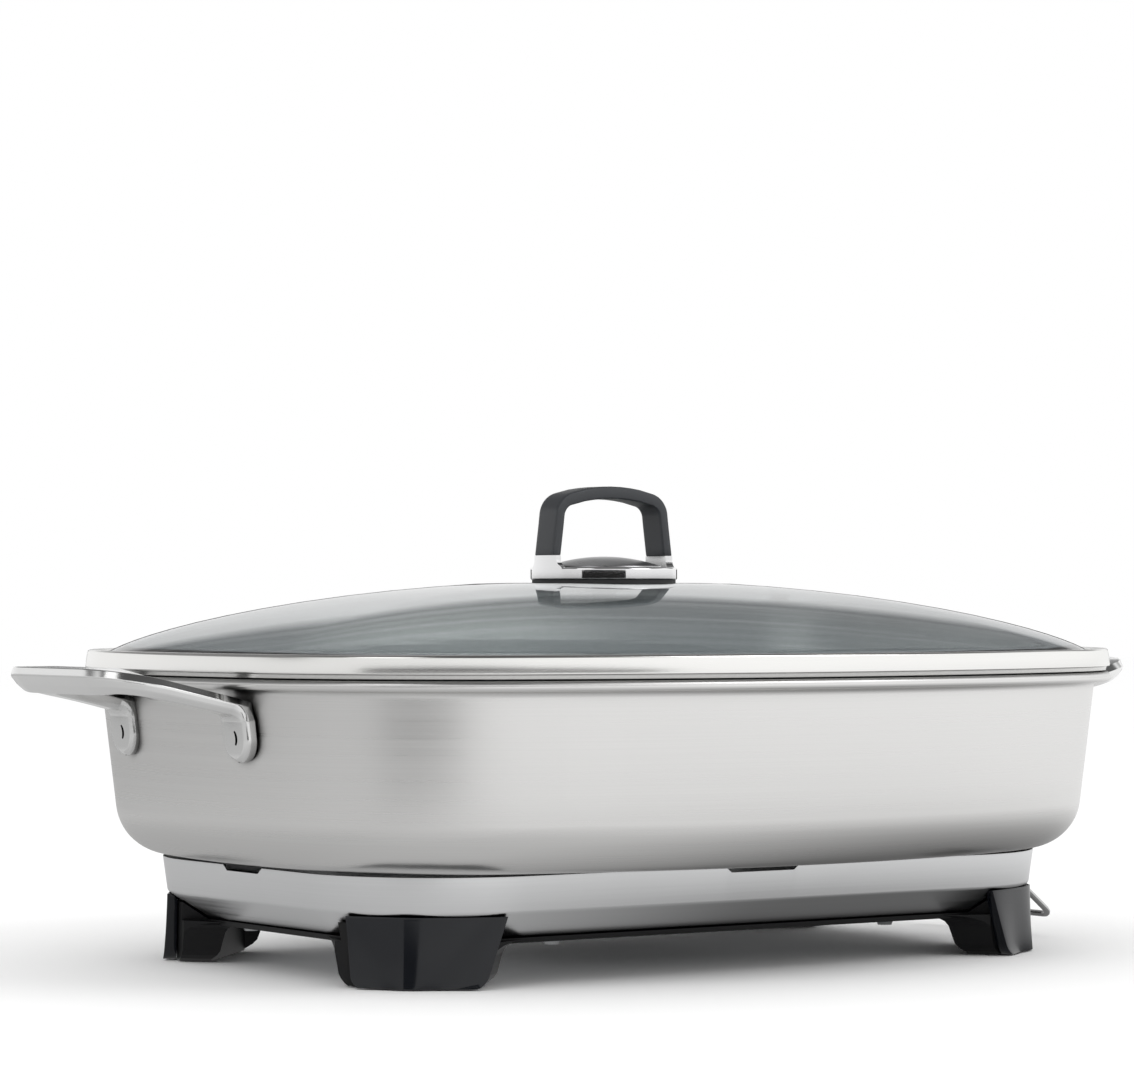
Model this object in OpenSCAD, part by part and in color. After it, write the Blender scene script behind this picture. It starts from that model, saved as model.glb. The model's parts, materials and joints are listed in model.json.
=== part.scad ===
// Electric skillet: deep stainless pan with a lift-off glass lid on a heated base with four corner feet.
// Millimetres. X runs along the pan, through both side handles. Y runs across it, and +Z is up.
// The origin lies under the middle of the pan, on the surface that the feet stand on.

/* [Pan] */
// Length of the pan over its rolled edge
pan_l = 428; // [412:2:458]
// Width of the pan over its rolled edge
pan_w = 342; // [330:2:366]
// Radius of the corners of the rolled edge
corner_r = 113; // [104:1:121]
// How far each end swells past a straight line
end_bow = 5; // [4:0.5:9]
// How far each long side swells past a straight line
side_bow = 13; // [9:0.5:18]
// Height from the underside of the floor to the top of the rolled edge
pan_h = 74.6; // [62:0.2:95]
// Thickness of the pan's sheet
pan_t = 1.3; // [1:0.1:2]
// Diameter of the rolled edge
bead_d = 4.2; // [3.4:0.1:5.2]
// How far the top of the wall stands inside the rolled edge
wall_in = 7; // [6:0.2:9]
// Draft of the wall, in degrees
wall_draft = 6.8; // [4:0.2:9]
// Radius between the wall and the floor
floor_r = 22; // [15:1:27]

/* [Lid] */
// Height of the steel band round the glass
band_h = 7.5; // [6.2:0.1:10]
// How far the band overhangs above the rolled edge
band_lift = 2; // [1:0.1:3]
// How far the band leans in at its top
band_lean = 1.2; // [0:0.1:2]
// Depth of the lip that finds the mouth of the pan
lip_h = 5; // [3:0.5:9]
// Clearance between that lip and the pan
lip_gap = 0.8; // [0.4:0.1:1.5]
// Clearance between the lid and the rolled edge
seat_gap = 0.3; // [0.2:0.05:0.6]
// How far the edge of the glass stands inside the band
glass_in = 8.3; // [7.6:0.1:9.4]
// Height of the dome above its edge
dome_h = 31.2; // [23:0.1:42]
// Thickness of the glass
glass_t = 4; // [3:0.25:5]
// How far the flat middle of the glass lies under the top of the dome
dome_flat = 1.3; // [0.9:0.1:2]
// Distance of the steam vent from the middle of the lid
vent_x = 94; // [70:1:120]
// Outer diameter of the steam vent's eyelet
vent_d = 11.2; // [9.6:0.2:14]
// Bore of the steam vent's eyelet
vent_bore = 4; // [3:0.2:5]
// Wall of the steam vent's sleeve
vent_wall = 1.4; // [1:0.1:1.8]

/* [Lid handle] */
// Diameter of the handle's chrome ring
ring_d = 62; // [56:1:70]
// Height of the chrome ring
ring_h = 4.5; // [3.6:0.1:6]
// Thickness of the gasket under the ring
gasket_t = 1.4; // [1:0.1:2.4]
// Diameter of the domed cap inside the ring
cap_d = 49; // [40:0.5:52]
// Height of the domed cap over the ring
cap_h = 4.2; // [2:0.1:5]
// Width of the two straps that rise from the ring
strap_w = 16.3; // [12:0.1:19]
// Thickness of the straps
strap_t = 3; // [2:0.1:3.6]
// Height of the straps over the ring
strap_h = 5.7; // [4.6:0.1:9]
// Height of the moulded grip over the straps
grip_h = 29.2; // [22:0.1:36]
// Width of the moulded grip
grip_w = 14; // [10:0.5:17]
// Thickness of the grip at its crown
grip_t = 5.3; // [4.2:0.1:7]
// How far the legs of the grip lean in
grip_lean = 3.2; // [1:0.1:6]
// Radius of the grip's shoulders
grip_r = 9.5; // [6:0.5:11]
// Diameter of the screw that holds the handle
lid_screw_d = 5; // [4:0.5:6]
// Diameter of the head of that screw
lid_head_d = 11; // [9:0.5:14]

/* [Side handles] */
// Distance between the two lugs of a handle
lug_pitch = 91.4; // [80:0.2:100]
// Width of a lug
lug_w = 19.2; // [15:0.2:22]
// Thickness of a lug
lug_t = 4.2; // [3.2:0.2:5.4]
// Height of the rivets over the floor of the pan
rivet_up = 51.7; // [46:0.1:60]
// Diameter of a rivet
rivet_d = 5; // [4:0.2:6]
// Diameter of a rivet's head inside the pan
rivet_head_d = 11; // [8:0.5:13]
// How far the handle reaches out past the rolled edge
reach = 49; // [43:1:58]
// Width of the grip of a handle
side_grip_w = 18; // [14:0.5:20]
// Thickness of the grip of a handle
side_grip_t = 8; // [6:0.5:10]
// Width of the arms of a handle
arm_w = 12; // [9:0.5:14]
// Thickness of the arms of a handle
arm_t = 6.4; // [5:0.2:7.6]
// Outer radius of the corners of a handle
side_corner_r = 27; // [24:1:30]
// Rise of the grip over the elbows
arm_rise = 12.5; // [9:0.5:16]

/* [Base] */
// Length of the skirt at its top edge
base_l = 352; // [340:0.4:360]
// Width of the skirt at its top edge
base_w = 222.4; // [213.2:0.4:232]
// Corner radius of the skirt at its top edge
base_r = 62; // [55:1:68]
// Gap between the skirt and the floor of the pan
skirt_gap = 1.1; // [0.6:0.1:2]
// Height of the upper, nearly upright part of the skirt
skirt_up_h = 14.4; // [13.6:0.1:18]
// How far the upper part leans in
skirt_up_in = 2; // [1:0.1:3]
// Height of the lower, sloping part of the skirt
skirt_low_h = 10.9; // [9:0.1:13]
// How far the lower part slopes in
skirt_low_in = 15; // [12:0.5:17]
// Thickness of the skirt's sheet
skirt_t = 1; // [0.8:0.1:1.4]
// Width of the vent notches in the long sides
notch_side_w = 37.5; // [30:0.5:50]
// Width of the vent notch in the left end
notch_end_w = 30.7; // [24:0.5:44]
// Depth of the vent notches
notch_h = 2.4; // [1.6:0.1:3.6]
// Thickness of the black frame under the skirt
frame_t = 2; // [1.6:0.1:3]
// Width of the black frame
frame_w = 18.5; // [16:0.5:24]
// Thickness of the bottom cover
cover_t = 1.2; // [0.8:0.1:1.6]
// Number of slots in each bank of the cover
slot_count = 9; // [5:1:10]
// Length of a slot in the cover
slot_l = 34; // [24:1:40]
// Width of a slot in the cover
slot_w = 4; // [3:0.5:5]
// Distance between slots
slot_pitch = 10; // [8:0.5:11]

/* [Feet] */
// Height of the frame over the table
foot_h = 16.2; // [13:0.1:22]
// Half of the angle that a foot spans round its corner
foot_span = 32; // [28:1:35]
// How much narrower that half angle is near the bottom
foot_taper = 7; // [4:1:10]
// Thickness of a foot's front panel
foot_t = 4.4; // [3.4:0.2:5.4]
// Depth of a leg behind its panel
leg_depth = 20; // [16:0.5:24]
// How far the black leg shows past the panel's side edges
leg_lip = 2.4; // [1.4:0.2:3.4]
// How far a foot stands out at its bottom
foot_flare = 1.2; // [0.2:0.1:2]
// Height of the pads under the feet
pad_h = 2.4; // [1.8:0.2:3.4]
// How far the pads stand under the feet
pad_out = 0.6; // [0.4:0.1:1]
// Diameter of the pads
pad_d = 14; // [10:0.5:16]

/* [Heating] */
// Thickness of the heat plate
plate_t = 5.6; // [4:0.2:7]
// Margin between the heat plate and the skirt
plate_margin = 22; // [18:1:28]
// Diameter of the heating element
element_d = 7; // [6:0.2:8]
// Distance from the end of the skirt to the element loop
element_in_x = 59.2; // [54:0.2:72]
// Distance from the long side of the skirt to the element loop
element_in_y = 52.7; // [48:0.1:60]
// Radius of the element loop's corners
element_r = 32; // [24:1:36]
// Distance of the element clamps from the middle
clamp_x = 60; // [40:1:74]
// Width of an element clamp
clamp_w = 12; // [8:1:16]
// Thickness of the heat shield
shield_t = 1; // [0.6:0.1:1.4]
// Height of the heat shield's turned-up edge
shield_edge_h = 4; // [2:0.5:5]
// Gap between the heat shield and the sloping part of the skirt
shield_margin = 16; // [14:0.5:20]
// Gap between the bottom cover and the heat shield
shield_up = 5.2; // [4:0.2:7]
// Distance of the studs from the middle, along the pan
stud_x = 82; // [66:1:90]
// Distance of the studs from the middle, across the pan
stud_y = 42; // [34:1:46]
// Diameter of a stud
stud_d = 6; // [5:0.5:7]
// Diameter of the collars and spacers round the studs
collar_d = 10; // [9:0.5:12]

/* [Inlet] */
// Distance between the two contact pins
pin_pitch = 38; // [34:1:42]
// Diameter of a contact pin
pin_d = 4.8; // [4:0.2:5.4]
// Diameter of the pins' stems inside the ceramic bushes
stem_d = 3.6; // [3:0.2:3.8]
// How far the contact pins reach past the steel plate of the inlet
pin_reach = 31; // [24:1:33]
// Bore of the sensor well
well_bore = 6.4; // [5.6:0.2:6.8]
// Wall of the sensor well
well_wall = 1; // [0.6:0.1:1.2]
// Depth of the sensor well behind the plate
well_depth = 58; // [40:1:70]
// Outer diameter of the ceramic bushes
bush_d = 10.4; // [9:0.2:11]
// Width of the shroud's opening
mouth_w = 56; // [52:1:58]
// Height of the shroud's opening
mouth_h = 10.6; // [10:0.1:11]
// Wall of the shroud
shroud_wall = 2; // [1.6:0.1:2.2]
// How far the shroud stands out of the skirt
shroud_out = 8; // [4:0.5:11]
// Diameter of the probe guard's wire
wire_d = 2.8; // [2.2:0.2:3.4]
// Distance between the two legs of the probe guard
guard_w = 84; // [80:1:90]
// How far the probe guard stands out of the skirt
guard_out = 38; // [28:1:44]
// Height of the probe guard's cross bar over the table
guard_z = 9.8; // [7:0.2:14]

/* [Fasteners] */
// Diameter of the screws that hold the cover to the frame
screw_d = 3.8; // [3:0.2:4.4]
// Diameter of their heads
screw_head_d = 7.4; // [6:0.2:8.4]
// Clearance of a screw or stud in its hole
hole_gap = 0.2; // [0.1:0.05:0.4]

/* [Hidden] */

// Heights, from the table up
frame_z = foot_h;
cover_z = frame_z + frame_t;
skirt_z = cover_z;
crease_z = skirt_z + skirt_low_h;
skirt_top_z = crease_z + skirt_up_h;
pan_z = skirt_top_z + skirt_gap;
plate_z = pan_z - plate_t;
rim_z = pan_z + pan_h;
lid_z = rim_z + seat_gap;
band_z = lid_z + band_lift;
band_top_z = band_z + band_h;
shelf_drop = 4.8;
shelf_z = band_top_z - shelf_drop;
glass_edge_z = band_top_z - shelf_drop / 2;
glass_top_z = glass_edge_z + dome_h - dome_flat;
gasket_z = glass_top_z;
ring_z = gasket_z + gasket_t;
ring_top_z = ring_z + ring_h;
grip_z = ring_top_z + strap_h;
shield_z = cover_z + cover_t + shield_up;

// Smoothness
$fn = 48;
end_steps = 5;
corner_steps = 7;
side_steps = 4;

function dir(a) = [cos(a), sin(a)];
function unit(v) = v / norm(v);
function arc_radius(half, bow) = (half * half + bow * bow) / (2 * bow);

// Outline of the rolled edge: an arc on each side, an arc on each end and corner arcs tangent to both
side_r = arc_radius(pan_l / 2 - corner_r, side_bow);
end_r = arc_radius(pan_w / 2 - corner_r, end_bow);
side_c = [0, pan_w / 2 - side_r];
end_c = [pan_l / 2 - end_r, 0];
to_end = end_c - side_c;
along = (pow(side_r - corner_r, 2) - pow(end_r - corner_r, 2) + to_end * to_end) / (2 * norm(to_end));
across = sqrt(max(0, pow(side_r - corner_r, 2) - along * along));
corner_c = side_c + along * unit(to_end) + across * [unit(to_end)[1], -unit(to_end)[0]];
side_a = atan2((corner_c - side_c)[1], (corner_c - side_c)[0]);
end_a = atan2((corner_c - end_c)[1], (corner_c - end_c)[0]);

// Samples on an arc, each one a point with its outward normal
function arc(c, r, a0, a1, n) = [
    for (i = [0:n - 1]) let (a = a0 + (a1 - a0) * i / n) [c + r * dir(a), dir(a)]
];
function flip(s, fx, fy) = [[s[0][0] * fx, s[0][1] * fy], [s[1][0] * fx, s[1][1] * fy]];
// Whole outline from one quarter that runs from the X axis to the Y axis, both ends included
function whole(q) = let (n = len(q) - 1) concat(
    [for (i = [0:n - 1]) q[i]],
    [for (i = [n:-1:1]) flip(q[i], -1, 1)],
    [for (i = [0:n - 1]) flip(q[i], -1, -1)],
    [for (i = [n:-1:1]) flip(q[i], 1, -1)]
);
pan_outline = whole(concat(
    arc(end_c, end_r, 0, end_a, end_steps),
    arc(corner_c, corner_r, end_a, side_a, corner_steps),
    arc(side_c, side_r, side_a, 90, side_steps),
    [[[0, pan_w / 2], [0, 1]]]
));
base_c = [base_l / 2 - base_r, base_w / 2 - base_r];
base_outline = whole(concat(
    [[[base_l / 2, 0], [1, 0]]],
    arc(base_c, base_r, 0, 90, 9),
    [[[base_c[0], base_w / 2], [0, 1]]],
    [[[0, base_w / 2], [0, 1]]]
));

// Ring of points on an outline, moved in by inset, at height z
function ring(outline, inset, z) = [for (s = outline) concat(s[0] - inset * s[1], z)];
// The same ring, shrunk towards the middle by the factor k
function shrunk(outline, inset, k, z) = [for (s = outline) concat(k * (s[0] - inset * s[1]), z)];
// Ring of points on a circle, in step with an outline
function round_ring(outline, r, z) = [for (s = outline) concat(r * unit(s[0]), z)];

// Solid skinned over rings that climb on its outside. With shut, the last ring joins the first one. With
// strips, the two end faces are strips between the first half of the ring and the second half
module skin(rings, shut = false, strips = false) {
    n = len(rings[0]);
    m = len(rings);
    spans = shut ? m : m - 1;
    top = (m - 1) * n;
    walls = [for (i = [0:spans - 1]) for (j = [0:n - 1]) let (
        k = (j + 1) % n,
        a = i * n + j,
        b = i * n + k,
        c = ((i + 1) % m) * n + k,
        d = ((i + 1) % m) * n + j
    ) each [[a, c, b], [a, d, c]]];
    ends = strips
        ? [for (j = [0:n / 2 - 2]) each [
            [j, j + 1, n - 2 - j, n - 1 - j], [top + n - 1 - j, top + n - 2 - j, top + j + 1, top + j]
        ]]
        : [[for (j = [0:n - 1]) j], [for (j = [n - 1:-1:0]) top + j]];
    polyhedron([for (r = rings) each r], shut ? walls : concat(walls, ends), convexity = 10);
}

// Points on an arc of radius r that rounds the corner b of the path a, b, c
function bend(a, b, c, r, n) = let (
    u = unit(a - b),
    v = unit(c - b),
    half = acos(u * v) / 2,
    centre = b + unit(u + v) * r / sin(half),
    p = b + u * r / tan(half)
) [for (i = [0:n]) let (t = (180 - 2 * half) * i / n) centre + (p - centre) * cos(t) - u * r * sin(t)];

// Tube along a path of points, with its section carried from point to point without a twist
module tube(points, d, side, sides) {
    path = [
        for (i = [0:len(points) - 1])
            if (i == 0 || norm(points[i] - points[max(0, i - 1)]) > 0.02) points[i]
    ];
    last = len(path) - 1;
    step = [for (i = [1:last]) unit(path[i] - path[i - 1])];
    tangent = concat([step[0]], [for (i = [1:last - 1]) unit(step[i - 1] + step[i])], [step[last - 1]]);
    sideways = [for (
        i = 0, s = side; i <= last;
        i = i + 1, s = i <= last ? unit(s - (s * tangent[i]) * tangent[i]) : s
    ) s];
    skin([for (i = [0:last]) [for (k = [0:sides - 1]) let (a = 360 * (k + 0.5) / sides)
        path[i] + d / 2 * (cos(a) * sideways[i] + sin(a) * cross(tangent[i], sideways[i]))]]);
}

module rounded_rect(l, w, r) {
    square([l, w - 2 * r], center = true);
    square([l - 2 * r, w], center = true);
    for (x = [-1, 1], y = [-1, 1]) translate([x * (l / 2 - r), y * (w / 2 - r)]) circle(r, $fn = 96);
}

// Plate with the outline of the base, moved in by inset
module base_plate(inset, t) {
    linear_extrude(t) rounded_rect(base_l - 2 * inset, base_w - 2 * inset, base_r - inset);
}

// Pan: outer profile from the floor to the rolled edge, as [inset, height over the floor]
under_bead = pan_h - bead_d;
function wall_at(h) = wall_in + (under_bead - h) * tan(wall_draft);
floor_in = wall_at(floor_r) + floor_r / cos(wall_draft);
fillet_angles = [90, 74, 58, 42, 26, wall_draft];
function fillet(a, r) = [floor_in - r * cos(a), floor_r - r * sin(a)];
curl = 3;
curl_z = under_bead - 2 * curl;
bead_r = bead_d / 2;
outer_wall = concat(
    [for (a = fillet_angles) fillet(a, floor_r)],
    [[wall_at(curl_z), curl_z], [wall_at(under_bead) - curl * 0.12, under_bead - curl]]
);
curl_profile = [[wall_in - curl * 0.45, under_bead - curl * 0.35], [wall_in - curl * 0.7, under_bead]];
bead_profile = [for (a = [-90:30:90]) [bead_r - bead_r * cos(a), pan_h - bead_r + bead_r * sin(a)]];
mouth_in = wall_at(curl_z) + pan_t;
inner_top = [
    [wall_in - curl * 0.4, pan_h], [wall_in + curl * 0.1, pan_h - 0.7],
    [mouth_in - 0.4, pan_h - curl], [mouth_in, curl_z]
];
inner_fillet = [for (i = [len(fillet_angles) - 1:-1:0]) fillet(fillet_angles[i], floor_r - pan_t)];
pan_profile = concat(outer_wall, curl_profile, bead_profile, inner_top, inner_fillet);

// A rivet sits on the end's arc, or on the corner's where the lugs stand wider than the end's arc
rivet_z = pan_z + rivet_up;
rivet_in = wall_at(rivet_up);
on_end = lug_pitch / 2 < (end_r - rivet_in) * sin(end_a);
lug_c = on_end ? end_c : corner_c;
rivet_r = (on_end ? end_r : corner_r) - rivet_in;
rivet_a = asin((lug_pitch / 2 - lug_c[1]) / rivet_r);
rivet_x = lug_c[0] + rivet_r * cos(rivet_a);
// How far the wall's flats lie inside the arc there
wall_sag = rivet_r * (1 - cos((on_end ? end_a / end_steps : (side_a - end_a) / corner_steps) / 2));
// Frame at a rivet: local Z points out of the wall, along the rivet
module at_rivets(side) {
    for (s = [-1, 1]) translate([side * rivet_x, s * lug_pitch / 2, rivet_z])
        rotate([0, 0, side > 0 ? s * rivet_a : 180 - s * rivet_a]) rotate([0, 90 + wall_draft, 0]) children();
}

module rivet_holes(side) {
    at_rivets(side) translate([0, 0, -6]) cylinder(d = rivet_d + 2 * hole_gap, h = 18, $fn = 20);
}

// The pan is drawn from one sheet. Its flat floor is a node of its own, which meets the fillet edge to edge
module pan_shell() {
    color("gainsboro") difference() {
        skin([for (p = pan_profile) ring(pan_outline, p[0], pan_z + p[1])], shut = true);
        rivet_holes(-1);
        rivet_holes(1);
    }
}

module pan_floor() {
    color("gainsboro") skin([for (h = [0, pan_t]) ring(pan_outline, floor_in, pan_z + h)]);
}

// The plate is notched where the inlet's bushes reach up beside it
module heat_plate() {
    color("silver") translate([0, 0, plate_z]) difference() {
        base_plate(plate_margin, plate_t);
        translate([element_end_x - 0.5, -inlet_notch_w / 2, -1])
            cube([base_l / 2, inlet_notch_w, plate_t + 2]);
    }
}

// Side handle: section of a station, as a rounded rectangle of 12 points
function swell(v) = sign(v) * pow(abs(v), 0.6);
section = [for (a = [15:30:345]) [swell(cos(a)), swell(sin(a))]];
// A station is [x, y, z, plan angle, pitch, width, thickness], and its section is square to its path
function section_ring(s) = let (
    wide = [-sin(s[3]), cos(s[3]), 0],
    thick = [-cos(s[3]) * sin(s[4]), -sin(s[3]) * sin(s[4]), cos(s[4])],
    middle = [s[0], s[1], s[2]]
) [for (p = section) middle + p[0] * s[5] / 2 * wide + p[1] * s[6] / 2 * thick];
function lerp(a, b, k) = a + (b - a) * k;

elbow_z = rivet_z + lug_w * 0.22;
elbow_r = lug_t / 2 + 5;
wall_lean = 90 - wall_draft;
arm_pitch = 15;
function lug_x(z) = rivet_x + (z - rivet_z) * tan(wall_draft) + lug_t / 2 - 0.6;
lug_round = lug_w / 2;
half_grip = [for (a = [8, 32, 58, 90]) let (z = rivet_z - lug_round * cos(a)) [
    lug_x(z), lug_pitch / 2, z, 0, wall_lean, max(3, lug_w * sin(a)), lug_t
]];
elbow = [for (k = [0:0.2:1]) let (
    a = lerp(wall_lean, arm_pitch, k),
    x = lug_x(elbow_z) + elbow_r * (sin(wall_lean) - sin(a)),
    z = elbow_z + elbow_r * (cos(a) - cos(wall_lean))
) [x, lug_pitch / 2, z, 0, a, lerp(lug_w, arm_w, k), lerp(lug_t, arm_t, k)]];
grip_x = pan_l / 2 + reach - side_grip_w / 2;
grip_turn_r = side_corner_r - side_grip_w / 2;
turn_c = [grip_x - grip_turn_r, lug_pitch / 2 + arm_w / 2 - side_corner_r];
elbow_end = elbow[len(elbow) - 1];
grip_mid_z = elbow_end[2] + arm_rise;
turn_y = turn_c[1] + grip_turn_r;
turn_share = 0.4;
turn = [for (k = [0:0.2:1]) let (a = 90 * (1 - k), f = 0.5 + 0.5 * k) [
    turn_c[0] + grip_turn_r * cos(a), turn_c[1] + grip_turn_r * sin(a),
    lerp(elbow_end[2], grip_mid_z, sin(90 * lerp(turn_share, 1, k))),
    -90 * k, arm_pitch * (1 - k), lerp(arm_w, side_grip_w, f), lerp(arm_t, side_grip_t, f)
]];
arm_mid = [
    lerp(elbow_end[0], turn_c[0], 0.5), lerp(lug_pitch / 2, turn_y, 0.5),
    lerp(elbow_end[2], turn[0][2], 0.5), 0, arm_pitch, lerp(arm_w, side_grip_w, 0.2), arm_t
];
half_handle = concat(half_grip, elbow, [arm_mid], turn);
function over(s) = [s[0], -s[1], s[2], -180 - s[3], -s[4], s[5], s[6]];
handle_path = concat(half_handle, [for (i = [len(half_handle) - 1:-1:0]) over(half_handle[i])]);

// The space inside the end of the pan's wall, to cut the backs of the lugs to the wall
lug_gap = 0.15;
module wall_cone(c, r) {
    translate([c[0], c[1], pan_z])
        cylinder(r1 = r - wall_at(0) + lug_gap, r2 = r - wall_at(pan_h) + lug_gap, h = pan_h, $fn = 180);
}

module end_space() {
    far = end_r + pan_l;
    wedge_points = [end_c, end_c + far * dir(-end_a), end_c + far * dir(end_a)];
    intersection() {
        wall_cone(end_c, end_r);
        translate([0, 0, pan_z]) linear_extrude(pan_h) polygon(wedge_points);
    }
    for (s = [-1, 1]) wall_cone([corner_c[0], s * corner_c[1]], corner_r);
}

module side_handle(side) {
    mirror([side < 0 ? 1 : 0, 0, 0]) difference() {
        skin([for (s = handle_path) section_ring(s)]);
        end_space();
        rivet_holes(1);
    }
}

module handle_left() {
    color("lightgray") side_handle(-1);
}

module handle_right() {
    color("lightgray") side_handle(1);
}

// Rivet: head inside the pan, shank through wall and lug, hollow end in the lug
rivet_head_t = 1.6;
rivet_dimple = 2.2;
module rivets(side) {
    head_z = -pan_t - wall_sag - 0.04;
    shank_top = lug_t - 1.2;
    at_rivets(side) rotate_extrude($fn = 36) polygon([
        [0, head_z - rivet_head_t], [rivet_head_d * 0.3, head_z - rivet_head_t],
        [rivet_head_d / 2, head_z - 0.5], [rivet_head_d / 2, head_z], [rivet_d / 2, head_z],
        [rivet_d / 2, shank_top], [rivet_d / 2 - 0.7, shank_top], [0, shank_top - rivet_dimple]
    ]);
}

module rivets_left() {
    color("silver") rivets(-1);
}

module rivets_right() {
    color("silver") rivets(1);
}

// Heating element: one tube in a loop, with its two ends at the inlet
element_x = base_l / 2 - element_in_x;
element_y = base_w / 2 - element_in_y;
element_z = plate_z - element_d / 2;
inner_bend = 11;
socket_in = 24.7;
bush_in = 9;
bush_out = 5.5;
bush_gap = 0.5;
plate_x = base_l / 2 - socket_in;
element_end_x = plate_x - bush_in - bush_gap;
function on_element(x, y) = [x, y, element_z];
element_half = concat(
    [on_element(element_end_x, pin_pitch / 2)],
    bend(
        on_element(element_end_x, pin_pitch / 2), on_element(element_x, pin_pitch / 2),
        on_element(element_x, element_y), inner_bend, 5
    ),
    bend(
        on_element(element_x, pin_pitch / 2), on_element(element_x, element_y),
        on_element(-element_x, element_y), element_r, 6
    ),
    bend(
        on_element(element_x, element_y), on_element(-element_x, element_y),
        on_element(-element_x, 0), element_r, 6
    )
);
element_path = concat(element_half, [for (i = [len(element_half) - 1:-1:0])
    [element_half[i][0], -element_half[i][1], element_z]]);

module heating_element() {
    color("dimgray") tube(element_path, element_d, [0, 0, 1], 12);
}

// Clamp: a saddle round the tube with two ears flat under the heat plate
saddle_t = 1.4;
module element_clamps() {
    saddle_d = element_d + 2 * hole_gap;
    ear = 7;
    color("silver") for (x = [-1, 1], y = [-1, 1])
        translate([x * clamp_x - clamp_w / 2, y * element_y, element_z]) rotate([90, 0, 90])
            linear_extrude(clamp_w) difference() {
                union() {
                    circle(d = saddle_d + 2 * saddle_t);
                    translate([0, element_d / 2 - saddle_t / 2])
                        square([saddle_d + 2 * saddle_t + 2 * ear, saddle_t], center = true);
                }
                circle(d = saddle_d);
                translate([0, element_d]) square([3 * element_d, element_d], center = true);
            }
}

// Inlet: steel plate, contact pins, ceramic bushes, sensor well and shroud
plate_sheet = 1.5;
plate_lip = 4;
socket_drop = 1.2;
socket_half_w = guard_w / 2 + plate_lip;
socket_low_z = crease_z - socket_drop;
well_z = plate_z - well_bore / 2 - well_wall;
bush_flange = 1.6;
bush_flange_d = bush_d + 2;
inlet_notch_w = pin_pitch + bush_flange_d + 2;
tab_l = 16;
tab_w = 14;
tab_y = socket_half_w - tab_w / 2 - 1;

module along_x(x, y, z) {
    translate([x, y, z]) rotate([0, 90, 0]) children();
}

module socket_plate() {
    color("silver") difference() {
        union() {
            translate([plate_x, -socket_half_w, socket_low_z])
                cube([plate_sheet, 2 * socket_half_w, plate_z - socket_low_z]);
            translate([plate_x, 1 - inlet_notch_w / 2, socket_low_z])
                cube([plate_sheet, inlet_notch_w - 2, element_z + bush_flange_d / 2 - socket_low_z]);
            for (s = [-1, 1])
                translate([plate_x - tab_l, s * tab_y - tab_w / 2, plate_z - plate_sheet])
                    cube([tab_l + plate_sheet, tab_w, plate_sheet]);
        }
        for (s = [-1, 1]) along_x(plate_x - 1, s * pin_pitch / 2, element_z)
            cylinder(d = bush_d + 2 * hole_gap, h = plate_sheet + 2);
        along_x(plate_x - 1, 0, well_z)
            cylinder(d = well_bore + 2 * well_wall + 2 * hole_gap, h = plate_sheet + 2);
    }
}

module terminal_insulators() {
    color("ivory") for (s = [-1, 1]) along_x(plate_x - bush_in, s * pin_pitch / 2, element_z) difference() {
        union() {
            cylinder(d = bush_d, h = bush_in + bush_out);
            translate([0, 0, bush_in - bush_flange]) cylinder(d = bush_flange_d, h = bush_flange);
        }
        translate([0, 0, -1]) cylinder(d = stem_d + 2 * hole_gap, h = bush_in + bush_out + 2);
    }
}

// Contact pins: a thinner stem inside the bush, and a full contact outside it
pin_end_x = plate_x + plate_sheet + pin_reach;
pin_tip = 1.5;
pin_taper = 1.6;
pin_gap = 0.2;
module terminal_pins() {
    contact_x = plate_x + bush_out + pin_gap;
    color("silver") for (s = [-1, 1]) {
        along_x(element_end_x, s * pin_pitch / 2, element_z)
            cylinder(d = stem_d, h = contact_x - element_end_x);
        along_x(contact_x, s * pin_pitch / 2, element_z)
            cylinder(d = pin_d, h = pin_end_x - pin_tip - contact_x);
        along_x(pin_end_x - pin_tip, s * pin_pitch / 2, element_z)
            cylinder(d1 = pin_d, d2 = pin_d - pin_taper, h = pin_tip);
    }
}

module sensor_well() {
    color("silver") along_x(plate_x + plate_sheet - well_depth, 0, well_z) difference() {
        cylinder(d = well_bore + 2 * well_wall, h = well_depth + 3);
        translate([0, 0, 2]) cylinder(d = well_bore, h = well_depth + 3);
    }
}

shroud_w = mouth_w + 2 * shroud_wall;
shroud_h = mouth_h + 2 * shroud_wall;
shroud_z = skirt_top_z - 1.1 - shroud_h / 2;
flange_t = 2.6;
flange_gap = 2.4;
flange_lip = 3.5;
shroud_back_x = base_l / 2 - skirt_t - skirt_up_in - flange_gap - flange_t;
post_d = 6;
module shroud_section(w, h) {
    rounded_rect(h, w, 2.5);
}

module socket_shroud() {
    post_y = mouth_w / 2 - 1;
    color("dimgray") difference() {
        union() {
            along_x(shroud_back_x, 0, shroud_z)
                linear_extrude(base_l / 2 + shroud_out - shroud_back_x) shroud_section(shroud_w, shroud_h);
            along_x(shroud_back_x, 0, shroud_z)
                linear_extrude(flange_t) shroud_section(shroud_w + 2 * flange_lip, shroud_h + 0.6);
            for (s = [-1, 1]) along_x(plate_x + plate_sheet, s * (post_y + 2), shroud_z)
                cylinder(d = post_d, h = shroud_back_x - plate_x - plate_sheet + 0.5);
        }
        along_x(shroud_back_x - 1, 0, shroud_z)
            linear_extrude(base_l / 2 + shroud_out) shroud_section(mouth_w, mouth_h);
    }
}

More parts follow.
